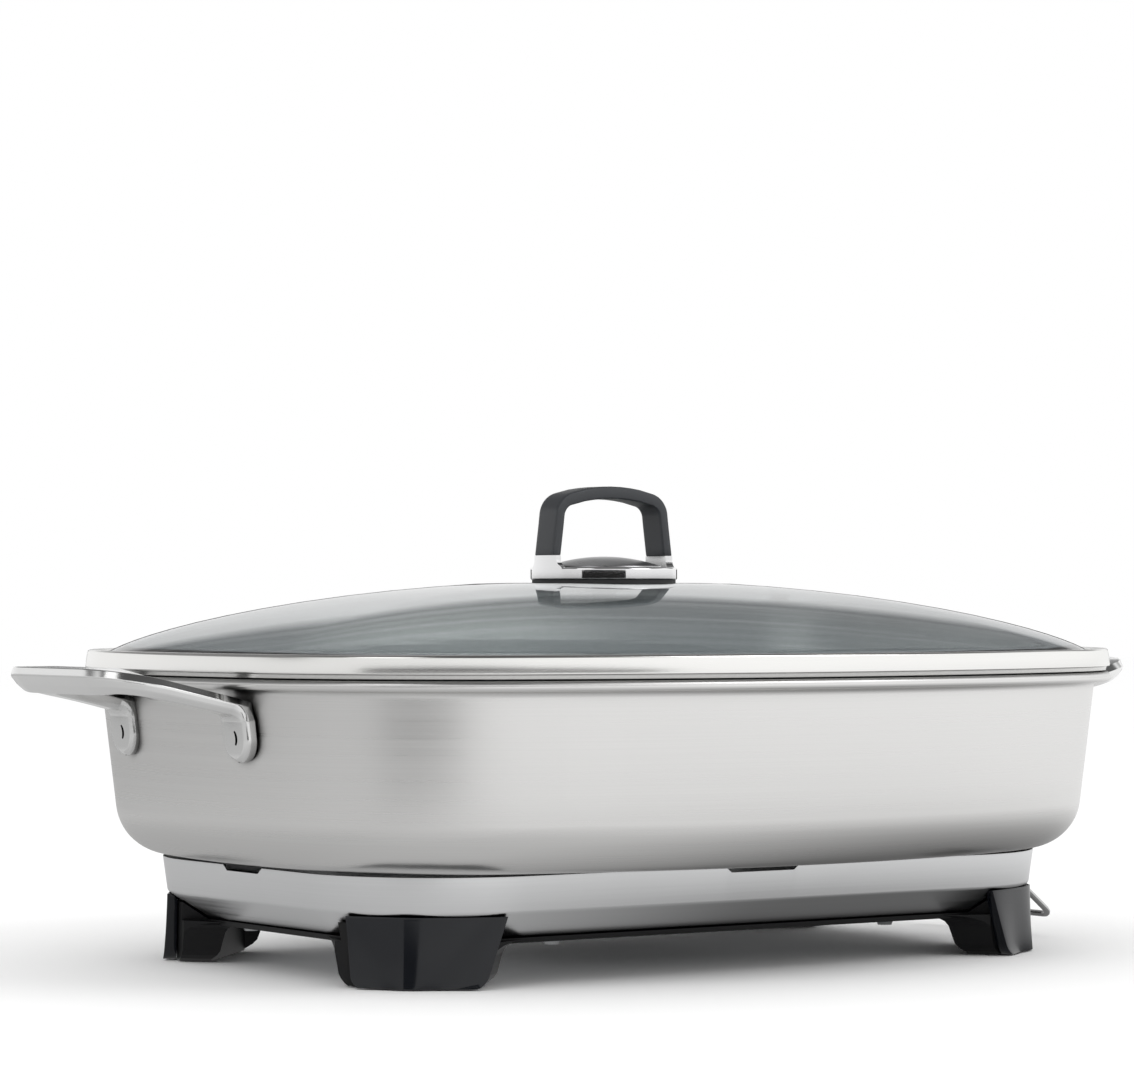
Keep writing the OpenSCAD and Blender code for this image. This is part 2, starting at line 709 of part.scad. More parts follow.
// Probe guard: a bent wire from the inlet's plate, out through the skirt and down to a cross bar
guard_x = base_l / 2 - skirt_up_in / 2 + guard_out;
guard_straight = 9;
guard_up = 3.4;
guard_bend_x = base_l / 2 + guard_straight;
guard_in_z = crease_z + guard_up;
guard_half = guard_w / 2;
guard_bend_r = 5;
guard_root = [plate_x + plate_sheet, guard_half, guard_in_z];
guard_knee = [guard_bend_x, guard_half, guard_in_z];
guard_corner = [guard_x, guard_half, guard_z];
guard_side = concat(
    [guard_root],
    bend(guard_root, guard_knee, guard_corner, guard_bend_r, 3),
    bend(guard_knee, guard_corner, [guard_x, 0, guard_z], guard_bend_r, 5)
);
guard_path = concat(guard_side, [for (i = [len(guard_side) - 1:-1:0])
    [guard_side[i][0], -guard_side[i][1], guard_side[i][2]]]);

module probe_guard() {
    color("silver") tube(guard_path, wire_d, [0, 0, 1], 10);
}

module stud_places() {
    for (x = [-1, 1], y = [-1, 1]) translate([x * stud_x, y * stud_y, 0]) children();
}

module heat_shield() {
    inset = shield_margin;
    color("silver") difference() {
        translate([0, 0, shield_z]) base_plate(inset, shield_t + shield_edge_h);
        translate([0, 0, shield_z + shield_t]) base_plate(inset + shield_t, shield_edge_h + 1);
        stud_places() cylinder(d = stud_d + 2 * hole_gap, h = pan_z);
    }
}

// Skirt: nearly upright above the crease and sloping in below it, with vent notches in its top edge
low_slope = skirt_low_in / skirt_low_h;
skirt_bottom_in = skirt_up_in + skirt_low_in;
skirt_profile = [
    [skirt_bottom_in, skirt_z], [skirt_up_in + 0.5, crease_z - 0.6], [skirt_up_in, crease_z + 0.4],
    [0, skirt_top_z], [skirt_t, skirt_top_z], [skirt_up_in + skirt_t, crease_z + 0.8],
    [skirt_up_in + skirt_t + 0.6, crease_z - 0.3], [skirt_bottom_in + skirt_t * 0.7, skirt_z + skirt_t * 0.6]
];

module notch(w) {
    translate([0, 0, skirt_top_z - notch_h]) rotate([90, 0, 0]) translate([0, 0, -9])
        linear_extrude(18) polygon([
            [-w / 2 + notch_h * 1.3, 0], [w / 2 - notch_h * 1.3, 0],
            [w / 2, notch_h + 0.1], [-w / 2, notch_h + 0.1]
        ]);
}

module base_skirt() {
    color("gainsboro") difference() {
        skin([for (p = skirt_profile) ring(base_outline, p[0], p[1])], shut = true);
        for (s = [-1, 1]) translate([0, s * base_w / 2, 0]) notch(notch_side_w);
        translate([-base_l / 2, 0, 0]) rotate([0, 0, 90]) notch(notch_end_w);
        along_x(base_l / 2 - 10, 0, shroud_z) linear_extrude(20)
            shroud_section(shroud_w + 3 * hole_gap, shroud_h + 3 * hole_gap);
        for (s = [-1, 1]) along_x(base_l / 2 - 10, s * guard_half, guard_in_z)
            cylinder(d = wire_d + 4 * hole_gap, h = 20, $fn = 24);
    }
}

// Foot panels are wedges round the centre of a base corner. A row of points at one height has its outer
// side first, then its inner side back. The angles are measured from the corner's diagonal
function slope_in(z) = skirt_up_in + (crease_z - z) * low_slope;
function wedge(angles, outer, inner, z) = concat(
    [for (a = angles) concat(base_c + outer(a) * dir(45 + a), z)],
    [for (i = [len(angles) - 1:-1:0]) concat(base_c + inner * dir(45 + angles[i]), z)]
);
foot_top_z = crease_z - 1.1;
// Half span of a panel at height z, with its bottom corners rounded
round_h = 5;
function panel_span(z) = foot_span - foot_taper * (1 - z / foot_top_z)
    - (z < round_h ? 4.6 * (1 - sqrt(1 - pow(1 - z / round_h, 2))) : 0);
panel_r = base_r - 1.2;
panel_in_r = panel_r - foot_t;
function panel_out(z) = panel_r + foot_flare * pow(1 - z / foot_top_z, 2);
// The panel bends at its middle, and its two halves are nearly flat
function bent(z) = function (a) panel_out(z) - 1.5 * sin(180 * min(1, abs(a) / panel_span(z)));
foot_rows = concat(
    [for (z = [pad_out, 1.6, 3.2, round_h, 10, foot_h, crease_z - 7]) [z, panel_in_r]],
    [for (z = [crease_z - 4, foot_top_z]) [z, max(panel_in_r, panel_out(z) - slope_in(z) + 1.6)]]
);

module foot(sx, sy) {
    mirror([sx < 0 ? 1 : 0, 0, 0]) mirror([0, sy < 0 ? 1 : 0, 0])
        skin([for (r = foot_rows) let (z = r[0], s = panel_span(z))
            wedge([for (k = [-1:0.2:1]) k * s], bent(z), r[1], z)], strips = true);
}

module foot_front_left() {
    color("darkslategray") foot(-1, -1);
}

module foot_front_right() {
    color("darkslategray") foot(1, -1);
}

module foot_rear_left() {
    color("darkslategray") foot(-1, 1);
}

module foot_rear_right() {
    color("darkslategray") foot(1, 1);
}

// Leg: the black block behind a panel, which flares out into the frame above it. It is cut to one outline
// seen from the front, along the corner's diagonal, and to another seen from above
leg_gap = 0.3;
leg_out_r = panel_in_r - leg_gap;
leg_in_r = leg_out_r - leg_depth;
flare_h = 5;
flare_w = 7;
flare_top_z = frame_z + frame_t * 0.7;
leg_top_z = crease_z - 4.2;
frame_in = skirt_bottom_in - 1.2;
function panel_half(z) = panel_out(z) * sin(panel_span(z));
function flare(z) = 1 - sqrt(1 - pow(max(0, min(1, (z - flare_top_z + flare_h) / flare_h)), 2));
function leg_half(z) = panel_half(z) + leg_lip * (0.5 + 0.5 * min(1, z / round_h)) + flare_w * flare(z);
leg_front = concat(
    [for (z = [pad_out, 1.6, 3.2, round_h, 9]) [leg_half(z), z]],
    [for (k = [0, 0.4, 0.7, 0.9, 1]) let (z = flare_top_z - flare_h * (1 - k)) [leg_half(z), z]],
    [for (z = [flare_top_z, leg_top_z]) [panel_half(z) - 1.5, z]]
);
wing_half = leg_half(flare_top_z) + 0.1;
wing_out = (base_r - frame_in - 0.4) * sqrt(2) - wing_half;
wing_w = 9;
arc_a = foot_span + 2;
leg_in_half = panel_half(foot_top_z) + leg_lip - 8;
leg_plan = concat(
    [for (k = [-1:0.2:1]) leg_out_r * dir(arc_a * k)],
    [[wing_out, wing_half], [wing_out - wing_w, wing_half], [leg_in_r, leg_in_half]],
    [[leg_in_r, -leg_in_half], [wing_out - wing_w, -wing_half], [wing_out, -wing_half]]
);

module leg() {
    translate(base_c) rotate([0, 0, 45]) difference() {
        intersection() {
            linear_extrude(leg_top_z) polygon(leg_plan);
            rotate([90, 0, 90]) linear_extrude(base_r) polygon(concat(
                leg_front, [for (i = [len(leg_front) - 1:-1:0]) [-leg_front[i][0], leg_front[i][1]]]
            ));
        }
        translate([0, 0, skirt_z]) cylinder(
            r1 = base_r - slope_in(skirt_z) + 1.6, r2 = base_r - slope_in(crease_z) + 1.6,
            h = skirt_low_h, $fn = 96
        );
    }
}

module base_frame() {
    color("black") difference() {
        union() {
            translate([0, 0, frame_z]) difference() {
                base_plate(frame_in, frame_t);
                translate([0, 0, -1]) base_plate(frame_in + frame_w, frame_t + 2);
            }
            for (x = [0, 1], y = [0, 1]) mirror([x, 0, 0]) mirror([0, y, 0]) leg();
        }
        pad_places() translate([0, 0, -1]) cylinder(d = pad_d + 2 * hole_gap, h = pad_h + 1);
        screw_places() translate([0, 0, frame_z - 1]) cylinder(d = screw_d + 2 * hole_gap, h = frame_t + 2);
    }
}

pad_r = leg_out_r - leg_depth / 2;
module pad_places() {
    for (x = [-1, 1], y = [-1, 1])
        translate([x * (base_c[0] + pad_r * cos(45)), y * (base_c[1] + pad_r * sin(45)), 0]) children();
}

module foot_pads() {
    color("dimgray") pad_places() cylinder(d = pad_d, h = pad_h);
}

screw_in = frame_in + frame_w * 0.6;
module screw_places() {
    for (x = [-1, 1], y = [-1, 1]) {
        translate([x * (base_l / 2 - screw_in), y * (base_c[1] - 10), 0]) children();
        translate([x * (base_c[0] - 30), y * (base_w / 2 - screw_in), 0]) children();
    }
}

module cover_screws() {
    head_t = 2.2;
    color("silver") screw_places() {
        translate([0, 0, frame_z - head_t]) cylinder(d1 = screw_head_d - 1.6, d2 = screw_head_d, h = head_t);
        translate([0, 0, frame_z]) cylinder(d = screw_d, h = frame_t + cover_t + 2);
    }
}

module bottom_cover() {
    bank_x = (slot_count - 1) * slot_pitch / 2;
    color("silver") translate([0, 0, cover_z]) difference() {
        base_plate(skirt_bottom_in + skirt_t + 0.6, cover_t);
        translate([0, 0, -1]) {
            for (i = [0:slot_count - 1], s = [-1, 1])
                translate([i * slot_pitch - bank_x, s * (stud_y + 2) / 2, 0])
                    linear_extrude(cover_t + 2) rounded_rect(slot_w, slot_l, slot_w / 2 - 0.01);
            stud_places() cylinder(d = stud_d + 2 * hole_gap, h = cover_t + 2);
            screw_places() cylinder(d = screw_d + 2 * hole_gap, h = cover_t + 2);
        }
    }
}

// Studs hang from the heat plate. Collars, spacers and nuts clamp the shield and the cover on them
nut_h = 4;
module base_studs() {
    collar_z = shield_z + shield_t;
    color("silver") stud_places() {
        translate([0, 0, cover_z - nut_h - 1.6]) cylinder(d = stud_d, h = plate_z - cover_z + nut_h + 1.6);
        translate([0, 0, collar_z]) cylinder(d = collar_d, h = plate_z - collar_z);
    }
}

module base_spacers() {
    color("silver") stud_places() translate([0, 0, cover_z + cover_t]) difference() {
        cylinder(d = collar_d, h = shield_up);
        translate([0, 0, -1]) cylinder(d = stud_d + 2 * hole_gap, h = shield_up + 2);
    }
}

module base_nuts() {
    color("silver") stud_places() translate([0, 0, cover_z - nut_h]) difference() {
        cylinder(d = collar_d + 1.5, h = nut_h, $fn = 6);
        translate([0, 0, -1]) cylinder(d = stud_d + 2 * hole_gap, h = nut_h + 2);
    }
}

// Lid: the glass swells as a power of the distance from the middle, and is flat under the handle
dome_power = 0.75;
dome_steps = [1, 0.985, 0.95, 0.89, 0.8, 0.69, 0.56, 0.42, 0.3, 0.2];
flat_k = 0.2;
screw_hole_r = lid_screw_d / 2 + 1.1;
bedding = 0.1;
function dome_z(k) = glass_edge_z + min(dome_h - dome_flat, dome_h * pow(1 - k * k, dome_power));

module lid_glass() {
    low = len(dome_steps) - 1;
    edge = ring(pan_outline, glass_in, shelf_z + bedding);
    outside = [for (k = dome_steps) shrunk(pan_outline, glass_in, k, dome_z(k))];
    hole = [for (z = [glass_top_z, glass_top_z - glass_t]) round_ring(pan_outline, screw_hole_r, z)];
    inside = [for (i = [low:-2:1]) let (k = dome_steps[i])
        shrunk(pan_outline, glass_in + glass_t, k, max(shelf_z + bedding + 0.2, dome_z(k) - glass_t))];
    heel = ring(pan_outline, glass_in + glass_t, shelf_z + bedding);
    color("lightblue", 0.5) difference() {
        skin(concat([edge], outside, hole, inside, [heel]), shut = true);
        at_vent() translate([0, 0, -20])
            cylinder(d = vent_bore + 2 * vent_wall + 2 * hole_gap, h = 40, $fn = 24);
    }
}

// Band: leans in a little, grips the glass on a shelf, and reaches into the pan with a lip
lip_in = mouth_in + lip_gap;
shelf_in = glass_in + glass_t + 1.2;
sheet = 1;
band_profile = [
    [0.6, band_z], [0, band_z + 0.6], [band_lean, band_top_z - 1.1], [band_lean + 0.7, band_top_z - 0.3],
    [band_lean + 1.8, band_top_z], [glass_in + 0.9, band_top_z - 0.5], [glass_in + 0.6, band_top_z - 0.9],
    [glass_in - bedding, band_top_z - 2], [glass_in - bedding, shelf_z], [shelf_in, shelf_z],
    [shelf_in + 0.5, shelf_z - 0.5], [shelf_in, shelf_z - 1.4], [lip_in + sheet, shelf_z - 1.4],
    [lip_in + sheet, lid_z - lip_h], [lip_in, lid_z - lip_h], [lip_in, lid_z], [bead_r, lid_z],
    [bead_r - 0.3, band_z - 0.3]
];

module lid_rim() {
    color("gainsboro") skin([for (p = band_profile) ring(pan_outline, p[0], p[1])], shut = true);
}

// Steam vent: an eyelet square to the dome, on the long axis
glass_half = pan_l / 2 - glass_in;
vent_k = vent_x / glass_half;
vent_slope = 2 * dome_power * dome_h / glass_half * vent_k * pow(1 - vent_k * vent_k, dome_power - 1);
vent_tilt = atan(vent_slope);
module at_vent() {
    translate([vent_x, 0, dome_z(vent_k)]) rotate([0, vent_tilt, 0]) children();
}

module vent_eyelet() {
    sleeve_r = vent_bore / 2 + vent_wall;
    lip_r = sleeve_r + 1.4;
    under = -glass_t - 1;
    top = 1.3;
    color("silver") at_vent() rotate_extrude($fn = 36) polygon([
        [vent_bore / 2, under - 0.8], [lip_r, under - 0.8], [lip_r, under],
        [sleeve_r, under], [sleeve_r, 0.15], [vent_d / 2, 0.15], [vent_d / 2, 0.5],
        [vent_d / 2 - 1, top], [vent_bore / 2 + 0.6, top], [vent_bore / 2, top - 0.5]
    ]);
}

module lid_gasket() {
    color("dimgray") translate([0, 0, gasket_z]) difference() {
        cylinder(d = ring_d - 1.2, h = gasket_t, $fn = 72);
        translate([0, 0, -1]) cylinder(r = screw_hole_r, h = gasket_t + 2);
    }
}

// Handle base: a ring with a dished middle, and two straps that follow its outside up
ring_r = ring_d / 2;
cap_gap = 0.2;
seat_h = ring_h - 2;
module lid_handle_base() {
    color("white") difference() {
        union() {
            rotate_extrude($fn = 96) translate([0, ring_z]) polygon([
                [0, 0], [ring_r - 0.5, 0], [ring_r, 0.5], [ring_r, ring_h - 0.8], [ring_r - 0.8, ring_h],
                [cap_d / 2 + cap_gap, ring_h], [cap_d / 2 + cap_gap, seat_h], [0, seat_h]
            ]);
            intersection() {
                translate([0, 0, ring_z + 1]) difference() {
                    cylinder(r = ring_r, h = ring_h + strap_h - 1, $fn = 96);
                    translate([0, 0, -1]) cylinder(r = ring_r - strap_t, h = 30, $fn = 96);
                }
                translate([-ring_d, -strap_w / 2, ring_z]) cube([2 * ring_d, strap_w, ring_h + strap_h]);
            }
            translate([0, 0, ring_z + 0.5]) cylinder(d = lid_screw_d + 5, h = seat_h);
        }
        translate([0, 0, ring_z - 1]) cylinder(d = lid_screw_d + 2 * hole_gap, h = seat_h + 1);
    }
}

module lid_handle_cap() {
    edge_h = ring_h - seat_h - cap_gap;
    boss_r = lid_screw_d / 2 + 2.5 + 2 * cap_gap;
    dome_r = arc_radius(cap_d / 2, cap_h);
    color("silver") difference() {
        translate([0, 0, ring_z + seat_h + cap_gap]) cylinder(d = cap_d, h = edge_h + cap_h, $fn = 72);
        translate([0, 0, ring_top_z + cap_h - dome_r]) difference() {
            translate([0, 0, dome_r / 2]) cylinder(r = cap_d, h = dome_r);
            sphere(dome_r, $fn = 180);
        }
        translate([0, 0, ring_z]) cylinder(r = boss_r, h = seat_h + 0.5 + cap_gap);
    }
}

// Grip: a loop over both straps, with leaning legs, round shoulders and a slightly crowned top
leg_t = 4.2;
grip_half = ring_r - leg_t / 2 - 0.5;
crown = 2.6;
grip_top_z = grip_z + grip_h - grip_t / 2;
shoulder_x = grip_half - grip_lean - grip_r;
lean_a = 90 - atan(grip_lean / (grip_h - grip_r));
shoulder_z = grip_top_z - crown - grip_r;
half_loop = concat(
    [for (k = [0, 0.55])
        [lerp(-grip_half, -shoulder_x - grip_r, k), lerp(grip_z, shoulder_z, k), lean_a, leg_t]],
    [for (k = [0:0.25:1]) let (a = lerp(lean_a, 12, k)) [
        -shoulder_x - grip_r * sin(a), shoulder_z + grip_r * cos(a), a, lerp(leg_t, grip_t, k)
    ]],
    [for (k = [0.6, 0.25]) [-shoulder_x * k, grip_top_z - crown * 0.85 * pow(k, 2), 12 * k, grip_t]]
);
grip_path = concat(half_loop, [[0, grip_top_z, 0, grip_t]],
    [for (i = [len(half_loop) - 1:-1:0]) let (s = half_loop[i]) [-s[0], s[1], -s[2], s[3]]]);

module lid_handle_grip() {
    color("dimgray") skin([for (s = grip_path) let (level = s[1] == grip_z) [for (p = section) [
        s[0] - p[1] * s[3] / 2 * (level ? sign(s[2]) : sin(s[2])), p[0] * grip_w / 2,
        s[1] + p[1] * s[3] / 2 * (level ? 0 : cos(s[2]))
    ]]]);
}

module lid_handle_washer() {
    color("dimgray") translate([0, 0, glass_top_z - glass_t - 1.6]) difference() {
        cylinder(d = lid_head_d + 5, h = 1.6);
        translate([0, 0, -1]) cylinder(d = lid_screw_d + 2 * hole_gap, h = 4);
    }
}

module lid_handle_screw() {
    head_h = 3.2;
    head_z = glass_top_z - glass_t - 1.6 - head_h;
    color("silver") translate([0, 0, head_z]) difference() {
        union() {
            cylinder(d1 = lid_head_d - 2, d2 = lid_head_d, h = head_h);
            cylinder(d = lid_screw_d, h = ring_z + seat_h - 0.4 - head_z);
        }
        for (a = [0, 90]) rotate([0, 0, a]) translate([-3, -0.6, -1]) cube([6, 1.2, 2.4]);
    }
}

pan_shell();
pan_floor();
heat_plate();
handle_left();
handle_right();
rivets_left();
rivets_right();
heating_element();
element_clamps();
terminal_insulators();
terminal_pins();
sensor_well();
socket_plate();
socket_shroud();
probe_guard();
heat_shield();
base_skirt();
base_frame();
bottom_cover();
base_studs();
base_spacers();
base_nuts();
cover_screws();
foot_front_left();
foot_front_right();
foot_rear_left();
foot_rear_right();
foot_pads();
lid_glass();
lid_rim();
vent_eyelet();
lid_gasket();
lid_handle_base();
lid_handle_cap();
lid_handle_grip();
lid_handle_washer();
lid_handle_screw();
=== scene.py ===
"""The looks of an electric skillet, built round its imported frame.

Sizes are in millimetres until a mesh is made, and angles are in degrees.
"""
from collections import namedtuple
import json
import math

import bmesh
import bpy
from mathutils import Matrix, Vector


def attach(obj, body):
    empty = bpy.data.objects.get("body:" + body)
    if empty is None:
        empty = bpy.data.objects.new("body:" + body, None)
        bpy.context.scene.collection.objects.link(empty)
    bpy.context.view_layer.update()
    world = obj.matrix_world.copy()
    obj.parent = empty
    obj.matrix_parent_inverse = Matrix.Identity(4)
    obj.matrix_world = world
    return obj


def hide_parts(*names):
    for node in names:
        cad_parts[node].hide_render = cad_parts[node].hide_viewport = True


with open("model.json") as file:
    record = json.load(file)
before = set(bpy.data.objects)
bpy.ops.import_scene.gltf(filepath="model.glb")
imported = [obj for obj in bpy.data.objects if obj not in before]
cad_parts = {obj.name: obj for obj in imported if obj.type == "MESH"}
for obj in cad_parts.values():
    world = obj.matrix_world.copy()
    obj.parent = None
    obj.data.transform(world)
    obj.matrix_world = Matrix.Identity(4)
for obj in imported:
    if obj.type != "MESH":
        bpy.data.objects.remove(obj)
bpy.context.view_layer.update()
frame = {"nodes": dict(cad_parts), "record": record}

MM = 0.001
MERGE_M = 1e-7

# Camera: the photograph's frame, its focal length in pixels and the row of its horizon
PHOTO_W = 1134
PHOTO_H = 1083
FOCAL_PX = 4062.9
HORIZON_ROW = 596.1
CAMERA_AT = (-986.8, -1408.3, 151.0)
CAMERA_TURN = 34.5
SENSOR_MM = 36.0

# Pan
PAN_L = 428
PAN_W = 342
CORNER_R = 113
END_BOW = 5
SIDE_BOW = 13
PAN_H = 74.6
PAN_T = 1.3
BEAD_D = 4.2
WALL_IN = 7
WALL_DRAFT = 6.8
FLOOR_R = 22
CURL_H = 7
CURL_R = 3.4
LIP_H = 6
LIP_R = 2.2

# Base, from the table up
FOOT_H = 16.2
FRAME_T = 2
SKIRT_Z = FOOT_H + FRAME_T
CREASE_Z = SKIRT_Z + 10.9
SKIRT_TOP_Z = CREASE_Z + 14.4
PAN_Z = SKIRT_TOP_Z + 1.1
RIM_Z = PAN_Z + PAN_H
BASE_L = 352
BASE_W = 222.4
BASE_R = 62
CREASE_IN = 2
SKIRT_BOTTOM_IN = 17
SKIRT_T = 1
NOTCH_H = 2.4
NOTCH_SLOPE = NOTCH_H * 1.3
NOTCH_SIDE_W = 37.5
NOTCH_END_W = 30.7

# Lid
LID_Z = RIM_Z + 0.3
BAND_Z = LID_Z + 2
BAND_TOP_Z = BAND_Z + 7.5
SHELF_Z = BAND_TOP_Z - 4.8
GLASS_IN = 8.3
GLASS_EDGE_Z = BAND_TOP_Z - 2.4
GLASS_T = 4
DOME_H = 31.2
DOME_FLAT = 1.3
DOME_POWER = 0.75
GLASS_TOP_Z = GLASS_EDGE_Z + DOME_H - DOME_FLAT
LIP_GAP = 0.8
SCREW_HOLE_R = 3.6

# Lid handle
RING_D = 62
RING_Z = GLASS_TOP_Z + 1.4
RING_H = 5.2
RING_TOP_Z = RING_Z + RING_H
SEAT_DEPTH = 2
CAP_D = 49
CAP_GAP = 0.2
CAP_RISE = 4.6
CAP_BOW = 4.2
STRAP_W = 16.3
STRAP_T = 3
GRIP_Z = RING_TOP_Z + 5
GRIP_H = 29.2
GRIP_W = 14
GRIP_T = 5.3
GRIP_LEG_T = 4.2
GRIP_LEAN = 2.1
GRIP_R = 7.8
GRIP_CROWN = 2.6
CROWN_PITCH = 12

# Side handles
LUG_PITCH = 91.4
LUG_W = 19.2
LUG_T = 5.2
LUG_BEVEL = 1.9
LUG_SINK = 0.6
RIVET_Z = PAN_Z + 51.7
REACH = 49
SIDE_GRIP_W = 18
SIDE_GRIP_T = 8
ARM_W = 12
ARM_T = 6.4
ARM_ROOT_W = ARM_W + 3.6
ARM_PITCH = 15
ELBOW_R = LUG_T / 2 + 5
ELBOW_RISE = 2.2
SIDE_CORNER_R = 27
ARM_RISE = 12.5
DIMPLE_D = 7

# Feet: reach from the crease, what it loses down to the table, and the panel's hollow; towards the end, then
# along the side
FOOT_PANELS = ((24.5, 3.5, 1.4), (38, 9.5, 2.0))


def rad(degrees):
    return math.radians(degrees)


def direction(degrees):
    return Vector((math.cos(rad(degrees)), math.sin(rad(degrees))))


def lerp(a, b, k):
    return a + (b - a) * k


def steps(count):
    """Fractions from 0 to 1, both included."""
    return [i / count for i in range(count + 1)]


# Outlines: lists of (point, outward normal) in the plan, counter-clockwise from the X axis


def arc(centre, radius, start, end, count):
    found = []
    for k in steps(count):
        d = direction(lerp(start, end, k))
        found.append((centre + radius * d, d))
    return found


def whole(quarter):
    """The full outline, from one quarter that runs from the X axis to the Y axis."""
    def flip(s, x, y):
        return (Vector((s[0].x * x, s[0].y * y)), Vector((s[1].x * x, s[1].y * y)))

    back = list(reversed(quarter))
    return (
        quarter[:-1]
        + [flip(s, -1, 1) for s in back[:-1]]
        + [flip(s, -1, -1) for s in quarter[:-1]]
        + [flip(s, 1, -1) for s in back[:-1]]
    )


def arc_radius(half, bow):
    return (half * half + bow * bow) / (2 * bow)


def pan_arcs():
    """Centres and angles of the end arc, the corner arc and the side arc of the pan."""
    side_r = arc_radius(PAN_L / 2 - CORNER_R, SIDE_BOW)
    end_r = arc_radius(PAN_W / 2 - CORNER_R, END_BOW)
    side_c = Vector((0, PAN_W / 2 - side_r))
    end_c = Vector((PAN_L / 2 - end_r, 0))
    gap = end_c - side_c
    far = side_r - CORNER_R
    near = end_r - CORNER_R
    along = (far * far - near * near + gap.length_squared) / (2 * gap.length)
    across = math.sqrt(far * far - along * along)
    u = gap.normalized()
    corner_c = side_c + along * u + across * Vector((u.y, -u.x))
    to_side = corner_c - side_c
    to_end = corner_c - end_c
    side_a = math.degrees(math.atan2(to_side.y, to_side.x))
    end_a = math.degrees(math.atan2(to_end.y, to_end.x))
    return side_r, end_r, side_c, end_c, corner_c, side_a, end_a


SIDE_R, END_R, SIDE_C, END_C, CORNER_C, SIDE_A, END_A = pan_arcs()
PAN_OUTLINE = whole(
    arc(END_C, END_R, 0, END_A, 12)[:-1]
    + arc(CORNER_C, CORNER_R, END_A, SIDE_A, 20)[:-1]
    + arc(SIDE_C, SIDE_R, SIDE_A, 90, 14)
)


def base_outline(notches):
    """The skirt's outline. Notches are the distances from a side's middle at which its top edge bends."""
    centre = Vector((BASE_L / 2 - BASE_R, BASE_W / 2 - BASE_R))
    end_side = [(Vector((BASE_L / 2, y)), Vector((1, 0))) for y in sorted({0, *notches}) if y < centre.y]
    extra = (60, 80, 100)
    long_side = [
        (Vector((x, BASE_W / 2)), Vector((0, 1))) for x in sorted({0, *notches, *extra}, reverse=True)
    ]
    return whole(end_side + arc(centre, BASE_R, 0, 90, 24) + long_side)


def ring(outline, inset, z, scale=1.0):
    """Points of an outline moved in by inset, at height z."""
    return [((p - inset * n) * scale).to_3d() + Vector((0, 0, z)) for p, n in outline]


def round_ring(outline, radius, z):
    return [(radius * p.normalized()).to_3d() + Vector((0, 0, z)) for p, n in outline]


def rounded(points, radii, count, closed=True):
    """A polygon with each corner rounded by its own radius."""
    found = []
    last = len(points) - 1
    for i, (point, radius) in enumerate(zip(points, radii)):
        b = Vector(point)
        if radius <= 0 or (not closed and i in (0, last)):
            found.append(b)
            continue
        a = Vector(points[i - 1])
        c = Vector(points[(i + 1) % len(points)])
        u = (a - b).normalized()
        v = (c - b).normalized()
        half = u.angle(v) / 2
        reach = min(radius / math.tan(half), 0.49 * (a - b).length, 0.49 * (c - b).length)
        size = reach * math.tan(half)
        centre = b + (u + v).normalized() * size / math.sin(half)
        spoke = b + u * reach - centre
        for k in steps(count):
            t = (math.pi - 2 * half) * k
            found.append(centre + spoke * math.cos(t) - u * size * math.sin(t))
    return found


# Meshes


def add_object(name, data):
    obj = bpy.data.objects.new(name, data)
    bpy.context.scene.collection.objects.link(obj)
    return obj


def finish_piece(obj, body, slot, replaced, angle, crisp=False):
    """Smooths the piece below an angle, gives it its material and ties it to its body. Crisp keeps its flats
    flat."""
    obj.data.materials.clear()
    obj.data.materials.append(looks[slot])
    obj.data.shade_smooth()
    obj.data.set_sharp_from_angle(angle=rad(angle))
    if crisp:
        modify(obj, "WEIGHTED_NORMAL", keep_sharp=True)
    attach(obj, body)
    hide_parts(*replaced)


def mesh_object(name, verts, faces):
    mesh = bpy.data.meshes.new(name)
    mesh.from_pydata([Vector(v) * MM for v in verts], [], faces)
    made = bmesh.new()
    made.from_mesh(mesh)
    bmesh.ops.remove_doubles(made, verts=made.verts, dist=MERGE_M)
    bmesh.ops.recalc_face_normals(made, faces=made.faces)
    made.to_mesh(mesh)
    made.free()
    return add_object(name, mesh)


def loft(rings, shut=False, caps=True):
    """Skin over rings of equal length. With shut, the last ring joins the first one."""
    n = len(rings[0])
    m = len(rings)
    verts = [p for r in rings for p in r]
    faces = []
    for i in range(m if shut else m - 1):
        for j in range(n):
            k = (j + 1) % n
            low = i * n
            high = ((i + 1) % m) * n
            faces.append((low + j, low + k, high + k, high + j))
    if caps and not shut:
        faces.append(tuple(range(n)))
        faces.append(tuple((m - 1) * n + j for j in reversed(range(n))))
    return verts, faces


def lathe(profile, count=144):
    """A profile of (radius, height) turned round the Z axis, open at both ends."""
    rings = [[(r * math.cos(2 * math.pi * j / count), r * math.sin(2 * math.pi * j / count), z)
              for j in range(count)] for r, z in profile]
    return loft(rings, caps=False)


def modify(obj, kind, **settings):
    """Adds a modifier to the piece and applies it."""
    modifier = obj.modifiers.new(kind.lower(), kind)
    for key, value in settings.items():
        setattr(modifier, key, value)
    graph = bpy.context.evaluated_depsgraph_get()
    made = bpy.data.meshes.new_from_object(obj.evaluated_get(graph))
    obj.modifiers.clear()
    old = obj.data
    obj.data = made
    bpy.data.meshes.remove(old)


def combine(obj, operation, others):
    """Joins the others to the piece or takes them out of it, and deletes them."""
    for other in others:
        modify(obj, "BOOLEAN", operation=operation, solver="EXACT", object=other)
        bpy.data.objects.remove(other)


def bevel(obj, width, segments, angle):
    """Rounds the edges that are sharper than an angle."""
    modify(obj, "BEVEL", width=width * MM, segments=segments, limit_method="ANGLE", angle_limit=rad(angle))


# Materials. The Mix node's colour sockets share their names with others, so they go by number

MIX_FACTOR, MIX_A, MIX_B, MIX_RESULT = 0, 6, 7, 2


def grey(level):
    return (level, level, level)


